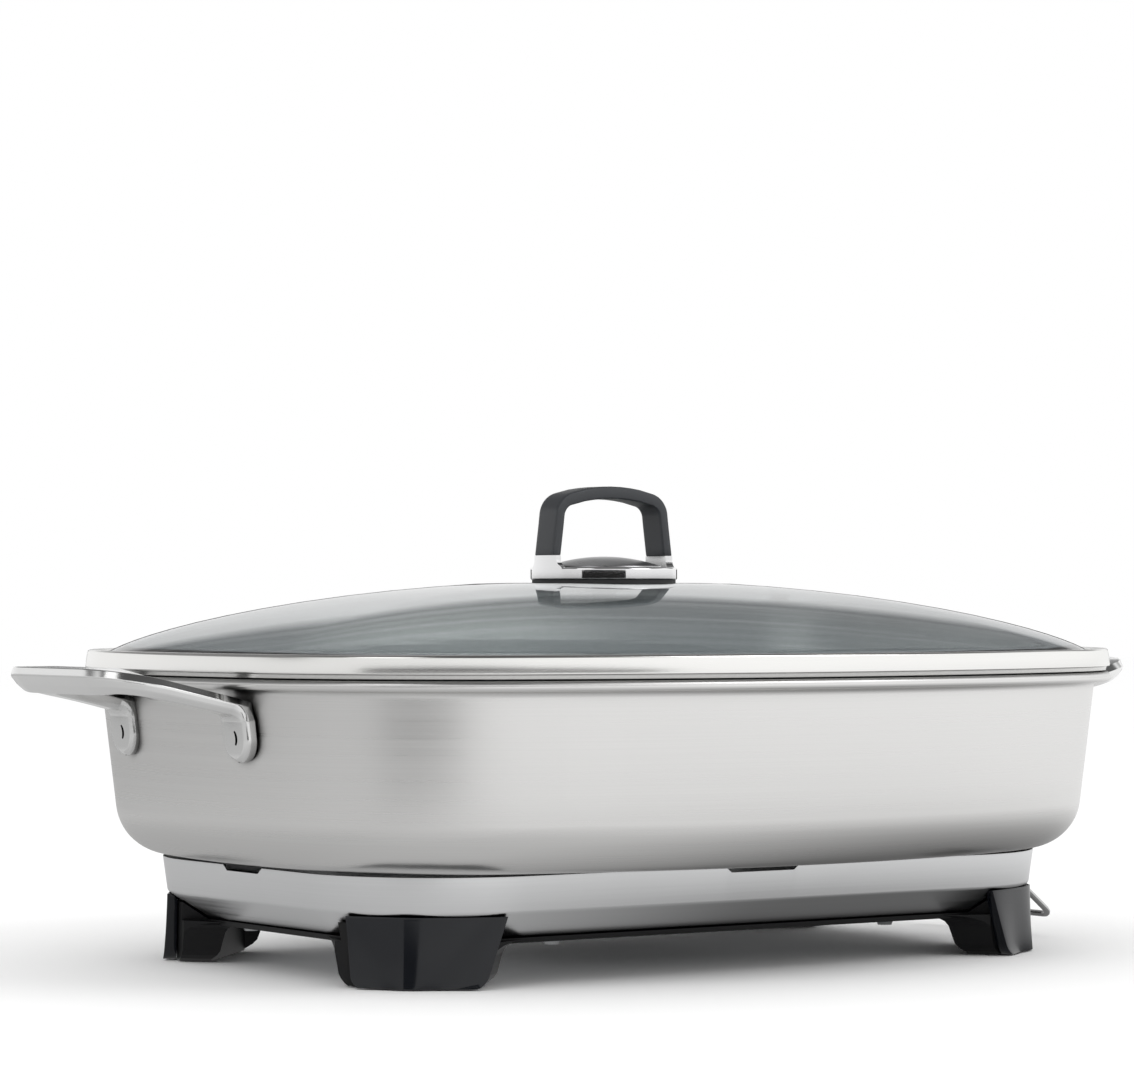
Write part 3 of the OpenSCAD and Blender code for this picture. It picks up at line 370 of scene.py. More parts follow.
class Nodes:
    """Short ways to build a node tree."""

    def __init__(self, tree):
        self.tree = tree

    def node(self, kind, **settings):
        """A new node. A setting is the input of that name, or else a property."""
        made = self.tree.nodes.new(kind)
        for key, value in settings.items():
            if key in made.inputs:
                made.inputs[key].default_value = value
            else:
                setattr(made, key, value)
        return made

    def link(self, output, target):
        self.tree.links.new(output, target)

    def scaled(self, vector, scale):
        """Coordinates scaled by axis."""
        made = self.node("ShaderNodeMapping", Scale=scale)
        self.link(vector, made.inputs["Vector"])
        return made.outputs["Vector"]

    def noise(self, vector, scale=1.0, detail=3.0, roughness=0.55):
        made = self.node("ShaderNodeTexNoise", Scale=scale, Detail=detail, Roughness=roughness)
        self.link(vector, made.inputs["Vector"])
        return made.outputs["Fac"]

    def ramp(self, factor, low, high, start=0.3, end=0.7, **settings):
        """Maps a factor that runs from start to end to a value from low to high."""
        made = self.node("ShaderNodeMapRange", **settings)
        for name, value in (("From Min", start), ("From Max", end), ("To Min", low), ("To Max", high)):
            made.inputs[name].default_value = value
        self.link(factor, made.inputs["Value"])
        return made.outputs["Result"]

    def sum(self, a, b, weight):
        """a plus weight times b."""
        made = self.node("ShaderNodeMath", operation="MULTIPLY_ADD")
        self.link(b, made.inputs[0])
        made.inputs[1].default_value = weight
        self.link(a, made.inputs[2])
        return made.outputs[0]

    def mix(self, factor, first, second):
        """Mixes two colours, each one given as a colour or as an output."""
        made = self.node("ShaderNodeMix", data_type="RGBA")
        self.link(factor, made.inputs[MIX_FACTOR])
        for socket, value in ((made.inputs[MIX_A], first), (made.inputs[MIX_B], second)):
            if isinstance(value, (tuple, list)):
                socket.default_value = (*value, 1)
            else:
                self.link(value, socket)
        return made.outputs[MIX_RESULT]

    def times(self, first, second):
        """Multiplies two colours."""
        made = self.node("ShaderNodeMix", data_type="RGBA", blend_type="MULTIPLY")
        made.inputs[MIX_FACTOR].default_value = 1.0
        self.link(first, made.inputs[MIX_A])
        self.link(second, made.inputs[MIX_B])
        return made.outputs[MIX_RESULT]

    def gradient(self, factor, stops):
        """Greys along a factor, as (position, level)."""
        made = self.node("ShaderNodeValToRGB")
        ramp = made.color_ramp
        while len(ramp.elements) < len(stops):
            ramp.elements.new(0.5)
        for element, (position, level) in zip(ramp.elements, stops):
            element.position = position
            element.color = (*grey(level), 1)
        self.link(factor, made.inputs["Fac"])
        return made.outputs["Color"]


class Shader(Nodes):
    """A material with a Principled shader."""

    def __init__(self, name, **inputs):
        self.material = bpy.data.materials.new(name)
        self.material.use_nodes = True
        super().__init__(self.material.node_tree)
        self.shader = self.tree.nodes["Principled BSDF"]
        for key, value in inputs.items():
            self.shader.inputs[key.replace("_", " ")].default_value = value
        self.place = self.node("ShaderNodeTexCoord").outputs["Object"]

    def painted_crevice_shade(self, colour, reach=0.007, dark=0.1):
        """Paints shade into a colour where another surface stands within reach, darker the closer it stands,
        in place of contact shadow and occlusion.
        """
        near = self.node("ShaderNodeAmbientOcclusion", samples=6, Distance=reach)
        return self.times(colour, self.ramp(near.outputs["AO"], dark, 1.0, 0.42, 0.86))

    def bump(self, height, strength, distance):
        made = self.node("ShaderNodeBump", Strength=strength, Distance=distance)
        self.link(height, made.inputs["Height"])
        self.link(made.outputs["Normal"], self.shader.inputs["Normal"])

    def to(self, output, name):
        self.link(output, self.shader.inputs[name])


def brushed(name, colour, roughness, stretch, grain=0.06, aniso=0.5, strength=0.25, reach=0.007, dark=0.1):
    """Steel with fine parallel scratches.

    stretch is their frequency along each axis, per metre, and grain how far they vary the colour. reach and
    dark set the painted shade, how far it reaches from another surface and how dark it gets.
    """
    s = Shader(name, Metallic=1.0, Roughness=roughness, Anisotropic=aniso)
    fine = s.noise(s.scaled(s.place, stretch), 1.0, 4.0, 0.7)
    broad = s.noise(s.scaled(s.place, [v * 0.16 for v in stretch]), 1.0, 3.0, 0.6)
    cloud = s.noise(s.place, 9.0)
    streaks = s.sum(fine, broad, 0.8)
    span = (0.6, 1.2)
    darker = [v * (1 - grain) for v in colour]
    lighter = [min(1, v * (1 + grain)) for v in colour]
    # Base colour: the streaks' tone, with painted shade where another surface stands close by
    s.to(s.painted_crevice_shade(s.mix(s.ramp(streaks, 0, 1, *span), darker, lighter), reach, dark), "Base Color")
    s.to(s.sum(s.ramp(streaks, roughness * 0.8, roughness * 1.25, *span), cloud, 0.05), "Roughness")
    s.bump(streaks, strength, 0.00004)
    tangent = s.node("ShaderNodeTangent", direction_type="RADIAL", axis="Z")
    s.to(tangent.outputs["Tangent"], "Tangent")
    return s.material


def polished(name, colour, roughness, cast=0.0, smudge=0.05, reach=0.007):
    """Bright metal with faint smudges, painted shade where other surfaces stand close, and a cast skin where
    cast is over 0.
    """
    s = Shader(name, Metallic=1.0, Roughness=roughness)
    cloud = s.noise(s.place, 28.0, 4.0, 0.6)
    pits = s.noise(s.place, 900.0, 3.0, 0.6)
    # Base colour: smudged tone, with painted shade where another surface stands close by
    s.to(s.painted_crevice_shade(s.mix(cloud, [v * 0.93 for v in colour], colour), reach), "Base Color")
    s.to(s.ramp(cloud, roughness, roughness + smudge), "Roughness")
    s.bump(s.sum(pits, cloud, 0.5), 0.08 + cast, 0.00005)
    return s.material


def plastic(name, colour, roughness, grain, strength=0.1, coat=0.0, wear=0.25, shine=0.5):
    """Moulded plastic, rubber or ceramic with a fine grain and a little wear."""
    s = Shader(name, Roughness=roughness, Coat_Weight=coat, Coat_Roughness=0.08, Specular_IOR_Level=shine)
    speckle = s.noise(s.place, grain, 3.0, 0.6)
    cloud = s.noise(s.place, 22.0, 3.0, 0.6)
    lighter = [min(1, v * (1 + wear) + 0.004) for v in colour]
    s.to(s.mix(cloud, colour, lighter), "Base Color")
    s.to(s.ramp(cloud, roughness * 0.9, roughness * 1.15), "Roughness")
    s.bump(speckle, strength, 0.00006)
    return s.material


def clear_glass(name):
    """Tempered glass: clear, with a faint tint and the slightest waviness."""
    s = Shader(name, Base_Color=(0.93, 0.97, 0.97, 1), Roughness=0.0, IOR=1.5, Transmission_Weight=1.0)
    wave = s.noise(s.place, 14.0, 2.0, 0.4)
    film = s.noise(s.scaled(s.place, (6, 6, 60)), 1.0, 3.0, 0.6)
    s.to(s.ramp(film, 0.0, 0.04), "Roughness")
    s.bump(wave, 0.06, 0.0004)
    return s.material


looks = {}


def add_look(kind, name, *values, **settings):
    looks[name] = kind(name, *values, **settings)


# reach and dark set how far and how deep each metal's painted shade goes; cast_steel's long reach paints
# shade on the handles' undersides
add_look(brushed, "pan_steel", (0.80, 0.795, 0.785), 0.27, (7, 7, 2600), grain=0.035, strength=0.14,
         reach=0.0045, dark=0.3)
add_look(brushed, "skirt_steel", (0.79, 0.795, 0.80), 0.3, (5, 5, 1500), grain=0.03, aniso=0.4, strength=0.12,
         reach=0.0025)
add_look(brushed, "rim_steel", (0.93, 0.925, 0.905), 0.16, (8, 8, 2000), grain=0.02, aniso=0.3, strength=0.08)
add_look(polished, "cast_steel", (0.88, 0.88, 0.875), 0.12, cast=0.08, reach=0.02)
add_look(polished, "chrome_ring", (0.95, 0.95, 0.955), 0.04, smudge=0.02)
add_look(brushed, "cap_steel", (0.62, 0.62, 0.63), 0.28, (1500, 40, 40), aniso=0.3, strength=0.2)
add_look(brushed, "plate_aluminium", (0.70, 0.71, 0.72), 0.42, (400, 400, 400), aniso=0.0, strength=0.3)
add_look(brushed, "plated_steel", (0.56, 0.57, 0.58), 0.36, (60, 900, 60), aniso=0.2, strength=0.15)
add_look(plastic, "element_sheath", (0.09, 0.095, 0.1), 0.5, 900.0, strength=0.2)
add_look(polished, "contact_metal", (0.72, 0.70, 0.66), 0.16, cast=0.02)
# A darker copy of steel for the vent eyelet, which is steel like the rim: painted shade
add_look(polished, "eyelet_steel", (0.26, 0.26, 0.27), 0.3, cast=0.02)
add_look(polished, "guard_wire", (0.60, 0.60, 0.60), 0.24, cast=0.04)
add_look(plastic, "ceramic", (0.80, 0.78, 0.72), 0.3, 500.0, strength=0.08, coat=0.3, wear=0.03)
add_look(plastic, "grip_plastic", (0.034, 0.037, 0.042), 0.42, 1100.0, strength=0.14, wear=0.2)
add_look(plastic, "frame_plastic", (0.005, 0.005, 0.0055), 0.36, 900.0, shine=0.16)
add_look(plastic, "foot_plastic", (0.003, 0.0038, 0.006), 0.12, 500.0, strength=0.02, wear=0.3, shine=0.42)
add_look(plastic, "rubber", (0.022, 0.022, 0.023), 0.62, 1200.0, strength=0.2)
add_look(clear_glass, "lid_glass")


# Pan and lid: profiles of (inset from the outline, height)


def wall_at(height):
    """Inset of the pan's outer wall at a height over its floor."""
    return WALL_IN + (PAN_H - BEAD_D - height) * math.tan(rad(WALL_DRAFT))


def pan_fillet(radius):
    """Arc between the floor and the wall, for the outside or the inside of the sheet."""
    centre = wall_at(FLOOR_R) + FLOOR_R / math.cos(rad(WALL_DRAFT))
    return [
        (centre - radius * math.cos(rad(a)), FLOOR_R - radius * math.sin(rad(a)))
        for a in (lerp(90, WALL_DRAFT, k) for k in steps(14))
    ]


def make_pan():
    under = PAN_H - BEAD_D
    bead_r = BEAD_D / 2
    outer = pan_fillet(FLOOR_R)
    walls = [(wall_at(h), h) for h in (30, 40, 50, 58, under - CURL_H)]
    curl = rounded(
        [(wall_at(under - CURL_H), under - CURL_H), (wall_at(under), under), (bead_r, under)],
        [0, CURL_R, 0], 7, False,
    )[1:-1]
    bead = [(bead_r - bead_r * math.cos(rad(a)), PAN_H - bead_r + bead_r * math.sin(rad(a)))
            for a in range(-78, 91, 14)]
    mouth = wall_at(under - LIP_H) + PAN_T
    lip = rounded(
        [(bead_r, PAN_H), (wall_at(under) - 0.3, PAN_H), (mouth, under - LIP_H)], [0, LIP_R, 0], 6, False
    )[1:]
    inner_walls = [(wall_at(h) + PAN_T, h) for h in (56, 44, 32)]
    inner = list(reversed(pan_fillet(FLOOR_R - PAN_T)))
    inside_floor = [(inner[-1][0] + d, PAN_T) for d in (8, 24)]
    outside_floor = [(outer[0][0] + d, 0) for d in (24, 8)]
    profile = outside_floor + outer + walls + curl + bead + lip + inner_walls + inner + inside_floor
    pan = mesh_object("pan", *loft([ring(PAN_OUTLINE, inset, PAN_Z + z) for inset, z in profile]))
    finish_piece(pan, "root", "pan_steel", ["pan_shell", "pan_floor"], 40)


def make_rim():
    """A band whose lip hangs inside the mouth of the pan and whose shelf carries the glass."""
    lip_in = wall_at(PAN_H - BEAD_D - LIP_H) + PAN_T + LIP_GAP
    shelf_in = 13.5
    profile = rounded(
        [
            (0.2, BAND_Z), (1.2, BAND_TOP_Z), (GLASS_IN + 0.4, BAND_TOP_Z - 0.5),
            (GLASS_IN - 0.1, BAND_TOP_Z - 2.2), (GLASS_IN - 0.1, SHELF_Z), (shelf_in, SHELF_Z),
            (shelf_in, SHELF_Z - 1.4), (lip_in + 1, SHELF_Z - 1.4), (lip_in + 1, LID_Z - 5),
            (lip_in, LID_Z - 5), (lip_in, LID_Z), (2.1, LID_Z), (1.6, BAND_Z),
        ],
        [0.5, 1.5, 0.5, 0, 0, 0.4, 0.4, 0.6, 0.3, 0.3, 0.6, 0.5, 0.3],
        5,
    )
    rim = mesh_object("lid_band", *loft([ring(PAN_OUTLINE, p.x, p.y) for p in profile], shut=True))
    finish_piece(rim, "lid", "rim_steel", ["lid_rim"], 50)


def dome_z(k):
    """Height of the glass at a share of the way from its middle to its edge."""
    return GLASS_EDGE_Z + min(DOME_H - DOME_FLAT, DOME_H * (1 - k * k) ** DOME_POWER)


def make_glass():
    edge = 1 - 0.6 / (PAN_W / 2)
    shares = [
        edge, 0.992, 0.982, 0.965, 0.94, 0.91, 0.87, 0.82, 0.76, 0.69, 0.61, 0.52, 0.43, 0.34, 0.26, 0.2,
    ]
    rings = [ring(PAN_OUTLINE, GLASS_IN, z) for z in (SHELF_Z + 0.1, GLASS_EDGE_Z - 0.3)]
    rings += [ring(PAN_OUTLINE, GLASS_IN, dome_z(k), k) for k in shares]
    rings += [round_ring(PAN_OUTLINE, SCREW_HOLE_R, z) for z in (GLASS_TOP_Z, GLASS_TOP_Z - GLASS_T)]
    for k in reversed(shares):
        rings.append(ring(PAN_OUTLINE, GLASS_IN + GLASS_T * 0.8, max(SHELF_Z + 0.4, dome_z(k) - GLASS_T), k))
    rings.append(ring(PAN_OUTLINE, GLASS_IN + GLASS_T, SHELF_Z + 0.1))
    glass = mesh_object("glass", *loft(rings, shut=True))
    finish_piece(glass, "lid", "lid_glass", ["lid_glass"], 50)


# Skirt, with the vent notches lowered out of its top edge


def notch_depth(point):
    """How far the top edge drops at a point of the outline: in both long sides and in the left end."""
    if abs(abs(point.y) - BASE_W / 2) < 1:
        along, half = abs(point.x), NOTCH_SIDE_W / 2
    elif abs(point.x + BASE_L / 2) < 1:
        along, half = abs(point.y), NOTCH_END_W / 2
    else:
        return 0
    return NOTCH_H * min(1, max(0, (half - along) / NOTCH_SLOPE))


def make_skirt():
    outline = base_outline([w / 2 - d for w in (NOTCH_SIDE_W, NOTCH_END_W) for d in (0, NOTCH_SLOPE)])
    profile = rounded(
        [
            (SKIRT_BOTTOM_IN, SKIRT_Z), (CREASE_IN, CREASE_Z), (0, SKIRT_TOP_Z),
            (SKIRT_T, SKIRT_TOP_Z), (CREASE_IN + SKIRT_T, CREASE_Z), (SKIRT_BOTTOM_IN + 0.7, SKIRT_Z + 0.6),
        ],
        [0.3, 2.2, 0.25, 0.25, 1.2, 0.3],
        6,
    )
    rings = []
    for p in profile:
        row = ring(outline, p.x, p.y)
        if p.y > SKIRT_TOP_Z - 1:
            row = [v - Vector((0, 0, notch_depth(place))) for v, (place, _) in zip(row, outline)]
        rings.append(row)
    skirt = mesh_object("skirt", *loft(rings, shut=True))
    finish_piece(skirt, "root", "skirt_steel", ["base_skirt"], 40)


# Side handles: one section swept through stations. plan and pitch turn it, lug is 1 on the lug's plate and 0
# past the elbow, and push squares the outside of the elbow

Station = namedtuple("Station", "x y z plan pitch width thickness lug push", defaults=(0, 0))


def section(width, thickness, lug, held):
    """Forty points. A lug is a plate with rounded face edges. An arm has a wide bevel along its top edge, and
    the grip, which held blends in, a deeper underside that slopes in."""
    w = width / 2
    t = thickness / 2
    grip = held * (1 - lug)

    def part(arm, loop, plate):
        """A size of the section, blended from its sizes on the arm, the grip's loop and the lug's plate."""
        return lerp(lerp(arm, loop, grip), plate, lug)

    deep = t + part(0.6, 2.4 * grip, 0)
    face = LUG_BEVEL
    if lug == 1:
        whole_w = LUG_W / 2
        end = whole_w ** 2 - w ** 2
        flat = (whole_w - face) ** 2 - end
        if flat > 0:
            face = w - math.sqrt(flat)
        else:
            face = w
            deep = lerp(0.1 * t, deep, (whole_w - math.sqrt(end)) / LUG_BEVEL)
    top = min(part(2.8, 0.5, 0.3), 0.5 * w)
    low = min(part(2.6, 6.2, face), 0.95 * w)
    low_in = min(part(1.8, 4.0, face), 0.95 * w)
    waist = part(0.05 * t, 0.1 * t, -0.25 * t)
    shoulder = max(waist + 0.3, part(t - 2.6, 0.3 * t, t - 0.4))
    bulge = part(0.24, 0.45, 0.26)
    corners = [
        (w, waist), (w, shoulder), (w - top, t), (top - w, t), (-w, shoulder), (-w, waist),
        (bulge * low_in - w, lerp(waist, -deep, 0.5)), (low_in - w, -deep), (w - low, -deep),
        (w - bulge * low, lerp(waist, -deep, 0.5)),
    ]
    return rounded(corners, [lerp(2.4, 0.6, grip), 0.4, 0.6, 0.9, 0.9, 0.9, 1.6, 1.4, 1.6, 2.4], 3)


def station_ring(s):
    held = math.sin(rad(s.plan)) ** 2
    a = rad(s.plan)
    b = rad(s.pitch)
    wide = Vector((-math.sin(a), math.cos(a), 0))
    thick = Vector((-math.cos(a) * math.sin(b), -math.sin(a) * math.sin(b), math.cos(b)))
    return [
        Vector((s.x, s.y, s.z)) + p.x * wide + (p.y + s.push * max(0, 2 * p.y / s.thickness)) * thick
        for p in section(s.width, s.thickness, s.lug, held)
    ]


def handle_stations():
    """Stations from the one lug over elbow, arm and turn to the grip's middle and back, and the rivets' x."""
    rivet_r = END_R - wall_at(RIVET_Z - PAN_Z)
    rivet_x = END_C.x + math.sqrt(rivet_r ** 2 - (LUG_PITCH / 2) ** 2)
    lug_y = LUG_PITCH / 2
    lean = 90 - WALL_DRAFT

    def lug_x(z):
        return rivet_x + (z - RIVET_Z) * math.tan(rad(WALL_DRAFT)) + LUG_T / 2 - LUG_SINK

    lug = []
    for a in (4, 10, 17, 25, 34, 44, 55, 67, 79, 90):
        z = RIVET_Z - LUG_W / 2 * math.cos(rad(a))
        lug.append(Station(lug_x(z), lug_y, z, 0, lean, LUG_W * math.sin(rad(a)), LUG_T, 1))

    elbow_z = RIVET_Z + LUG_W * 0.22 + ELBOW_RISE
    elbow = []
    for k in steps(14):
        a = lerp(lean, ARM_PITCH, k)
        thick = lerp(LUG_T, ARM_T, k)
        corner = 1 / math.cos(rad((lean - ARM_PITCH) * min(k, 1 - k))) - 1
        elbow.append(Station(
            lug_x(elbow_z) + ELBOW_R * (math.sin(rad(lean)) - math.sin(rad(a))), lug_y,
            elbow_z + ELBOW_R * (math.cos(rad(a)) - math.cos(rad(lean))),
            0, a, lerp(LUG_W, ARM_ROOT_W, k), thick, 1 - k, (ELBOW_R + thick / 2) * corner,
        ))
    root = elbow[-1]

    grip_x = PAN_L / 2 + REACH - SIDE_GRIP_W / 2
    turn_r = SIDE_CORNER_R - SIDE_GRIP_W / 2
    turn_c = Vector((grip_x - turn_r, LUG_PITCH / 2 + ARM_W / 2 - SIDE_CORNER_R))
    grip_z = root.z + ARM_RISE - ELBOW_RISE
    turn = []
    for k in steps(14):
        a = rad(90 * (1 - k))
        wider = 0.5 + 0.5 * k
        turn.append(Station(
            turn_c.x + turn_r * math.cos(a), turn_c.y + turn_r * math.sin(a),
            lerp(root.z, grip_z, math.sin(rad(90 * lerp(0.4, 1, k)))),
            -90 * k, ARM_PITCH * (1 - k), lerp(ARM_W, SIDE_GRIP_W, wider), lerp(ARM_T, SIDE_GRIP_T, wider),
        ))

    arm = []
    for k in steps(6)[1:-1]:
        width = lerp(ARM_ROOT_W, ARM_W, min(1, 2 * k))
        arm.append(Station(
            lerp(root.x, turn_c.x, k), lerp(lug_y, turn[0].y, k * k * (3 - 2 * k)),
            lerp(root.z, turn[0].z, k + 0.02 * math.sin(math.pi * k)),
            0, lerp(ARM_PITCH, turn[0].pitch, k * k), lerp(width, turn[0].width, k),
            lerp(ARM_T, turn[0].thickness, k),
        ))
    half = lug + elbow + arm + turn
    over = [s._replace(y=-s.y, plan=-180 - s.plan, pitch=-s.pitch) for s in reversed(half)]
    return half + over[1:], rivet_x


def cone_cutter():
    """The space that the end of the pan's wall takes, to trim the backs of the lugs to it."""
    gap = 0.05
    rings = []
    for h in (0, PAN_H):
        r = END_R - wall_at(h) + gap
        rings.append([
            (END_C.x + r * math.cos(rad(a)), r * math.sin(rad(a)), PAN_Z + h) for a in range(0, 360, 2)
        ])
    return mesh_object("cone_cutter", *loft(rings))


def crescent_cutter(x, side):
    """A crescent groove in the face of a lug, along the front of the rivet's flush head."""
    r = DIMPLE_D / 2
    width = 1.7
    angles = range(-56, 57, 8)
    outer = [(r * math.cos(rad(a)), r * math.sin(rad(a))) for a in angles]
    inner = [(px - width * math.cos(rad(a)) ** 0.7, py * 0.98) for (px, py), a in zip(outer, angles)]
    shape = outer + list(reversed(inner[1:-1]))
    turn = Matrix.Rotation(rad(WALL_DRAFT), 3, "Y")
    face = Vector((x + LUG_T - LUG_SINK, side * (LUG_PITCH / 2), RIVET_Z))
    rings = [[face + turn @ Vector((d, 0.4 - px, py)) for px, py in shape] for d in (-1.6, 2.5)]
    return mesh_object("crescent_cutter", *loft(rings))


def make_side_handle(side, node):
    """Made at the right end of the pan, and mirrored for the left one."""
    stations, rivet_x = handle_stations()
    handle = mesh_object("loop_" + node, *loft([station_ring(s) for s in stations]))
    combine(handle, "DIFFERENCE", [cone_cutter()] + [crescent_cutter(rivet_x, s) for s in (-1, 1)])
    if side < 0:
        handle.data.transform(Matrix.Scale(-1, 4, (1, 0, 0)))
        handle.data.flip_normals()
    finish_piece(handle, "root", "cast_steel", [node], 38, crisp=True)


# Lid handle. A turned profile starts at AXIS_R, just off its axis

AXIS_R = 0.01


def make_strap(side):
    """A strap that rises along the outside of the ring, wider where it leaves the ring."""
    r = RING_D / 2
    half_a = math.degrees(math.asin(STRAP_W / 2 / r))
    flare, flare_h = 0.34, 3.2
    rows = []
    for k in steps(16):
        z = lerp(RING_TOP_Z - 2, GRIP_Z, k)
        spread = 1 + flare * max(0, 1 - max(0, z - RING_TOP_Z) / flare_h) ** 2.4
        angles = [lerp(-half_a * spread, half_a * spread, j) for j in steps(12)]
        outer = [direction(side + a) * (r - 0.02) for a in angles]
        back = [direction(side + a) * (r - STRAP_T) for a in reversed(angles)]
        rows.append([p.to_3d() + Vector((0, 0, z)) for p in outer + back])
    return mesh_object("strap", *loft(rows))


def make_lid_base():
    """Chrome ring with a dished seat, and its two straps."""
    r = RING_D / 2
    seat_z = RING_Z + (RING_H - SEAT_DEPTH)
    cup = CAP_D / 2 + CAP_GAP
    profile = rounded(
        [(AXIS_R, RING_Z), (r, RING_Z), (r, RING_TOP_Z), (cup, RING_TOP_Z), (cup, seat_z), (AXIS_R, seat_z)],
        [0, 0.6, 1.1, 0.6, 0.3, 0],
        5, False,
    )
    base = mesh_object("handle_ring", *lathe(profile))
    combine(base, "UNION", [make_strap(side) for side in (0, 180)])
    bevel(base, 0.4, 3, 50)
    finish_piece(base, "lid", "chrome_ring", ["lid_handle_base"], 40, crisp=True)


def make_cap():
    """Domed disc in the ring."""
    r = CAP_D / 2
    edge_z = RING_TOP_Z - SEAT_DEPTH + CAP_GAP
    dome_r = arc_radius(r, CAP_BOW)
    profile = [(AXIS_R, edge_z), (r - 0.4, edge_z), (r, edge_z + 0.4), (r, RING_TOP_Z - 0.3)]
    for k in steps(14):
        x = r * (1 - 0.02) * (1 - k)
        profile.append((max(x, AXIS_R), RING_TOP_Z + CAP_RISE - dome_r + math.sqrt(dome_r ** 2 - x * x)))
    cap = mesh_object("handle_cap", *lathe(profile))
    finish_piece(cap, "lid", "cap_steel", ["lid_handle_cap"], 40)


def make_grip():
    """Loop over the straps: a path of (x, z, pitch, thickness) with level ends, and a rounded section."""
    half = RING_D / 2 - GRIP_LEG_T / 2 - 0.2
    top_z = GRIP_Z + GRIP_H - GRIP_T / 2
    shoulder_x = half - GRIP_LEAN - GRIP_R
    lean = 90 - math.degrees(math.atan(GRIP_LEAN / (GRIP_H - GRIP_R)))
    shoulder_z = top_z - GRIP_CROWN - GRIP_R
    path = []
    for k in (0, 0.2, 0.4, 0.6, 0.8):
        path.append((lerp(-half, -shoulder_x - GRIP_R, k), lerp(GRIP_Z, shoulder_z, k), lean, GRIP_LEG_T))
    for k in steps(12):
        a = lerp(lean, CROWN_PITCH, k)
        path.append((
            -shoulder_x - GRIP_R * math.sin(rad(a)), shoulder_z + GRIP_R * math.cos(rad(a)), a,
            lerp(GRIP_LEG_T, GRIP_T, k),
        ))
    for k in (0.25, 0.5, 0.75):
        z = top_z - GRIP_CROWN * 0.85 * (1 - k) ** 2
        path.append((-shoulder_x * (1 - k), z, CROWN_PITCH * (1 - k), GRIP_T))
    path += [(0, top_z, 0, GRIP_T)] + [(-x, z, -a, t) for x, z, a, t in reversed(path)]
    corner = rounded([(1, 1), (-1, 1), (-1, -1), (1, -1)], [0.26] * 4, 5)
    rows = []
    for x, z, a, t in path:
        at_strap = z < GRIP_Z + 0.1
        across = math.copysign(1, a) if at_strap else math.sin(rad(a))
        up = 0 if at_strap else math.cos(rad(a))
        rows.append([
            Vector((x - p.y * t / 2 * across, p.x * GRIP_W / 2, z + p.y * t / 2 * up)) for p in corner
        ])
    grip = mesh_object("handle_grip", *loft(rows))
    bevel(grip, 0.4, 2, 60)
    finish_piece(grip, "lid", "grip_plastic", ["lid_handle_grip"], 40)


# Feet: curved panels round the corners of the base, with an upright crease


def make_foot(node, side_x, side_y):
    centre = Vector((BASE_L / 2 - BASE_R, BASE_W / 2 - BASE_R))
    top_z = CREASE_Z - 1.1
    panel_r = BASE_R - 1.2
    inner_r = panel_r - 4.4
    round_h = 5
    crease_a = 45
    crease_soft = 5.0

    def away(a):
        """Distance from the crease, softened close to it."""
        return math.sqrt(a * a + crease_soft) - math.sqrt(crease_soft)

    def spans(z):
        """How far the foot reaches from its crease, in degrees: towards the end and along the side."""
        drop = 5.5 * (1 - math.sqrt(1 - (1 - z / round_h) ** 2)) if z < round_h else 0
        return [span - taper * (1 - z / top_z) - drop for span, taper, _ in FOOT_PANELS]

    def slope_in(z):
        """Inset of the skirt's lower slope, which the top of the foot passes under."""
        return CREASE_IN + (CREASE_Z - z) * (SKIRT_BOTTOM_IN - CREASE_IN) / (CREASE_Z - SKIRT_Z)

    rows = []
    for z in (0.6, 0.8, 1.3, 2, 3, 4, 5, 7, 10, 13, 16.2, 19, 22, 25, 27, top_z):
        out = panel_r + 1.2 * (1 - z / top_z) ** 2
        back = max(inner_r, out - slope_in(z) + 1.6) if z > CREASE_Z - 7 else inner_r
        short, long = spans(z)
        angles = [-short * (1 - j / 12) ** 1.4 for j in range(12)]
        angles += [long * (j / 16) ** 1.4 for j in range(17)]
        front = []
        for a in angles:
            span, hollow = (short, FOOT_PANELS[0][2]) if a < 0 else (long, FOOT_PANELS[1][2])
            bow = hollow * math.sin(math.pi * min(1, away(a) / away(span)))
            front.append(centre + (out - bow) * direction(crease_a + a))
        inside = [centre + back * direction(crease_a + a) for a in reversed(angles)]
        rows.append([p.to_3d() + Vector((0, 0, z)) for p in front + inside])
    foot = mesh_object("cap_" + node, *loft(rows))
    bevel(foot, 0.6, 3, 40)
    foot.data.transform(Matrix.Diagonal((side_x, side_y, 1, 1)))
    if side_x * side_y < 0:
        foot.data.flip_normals()
    finish_piece(foot, "root", "foot_plastic", [node], 30)


# Studio, in metres


def add_sheet(name, width, depth):
    x, y = width / 2, depth / 2
    mesh = bpy.data.meshes.new(name)
    mesh.from_pydata([(-x, -y, 0), (x, -y, 0), (x, y, 0), (-x, y, 0)], [], [(0, 1, 2, 3)])
    return add_object(name, mesh)


def aim(obj, place, target):
    """Puts the object at a place, with its -Z axis towards the target."""
    obj.location = place
    obj.rotation_euler = (Vector(target) - Vector(place)).to_track_quat("-Z", "Y").to_euler()


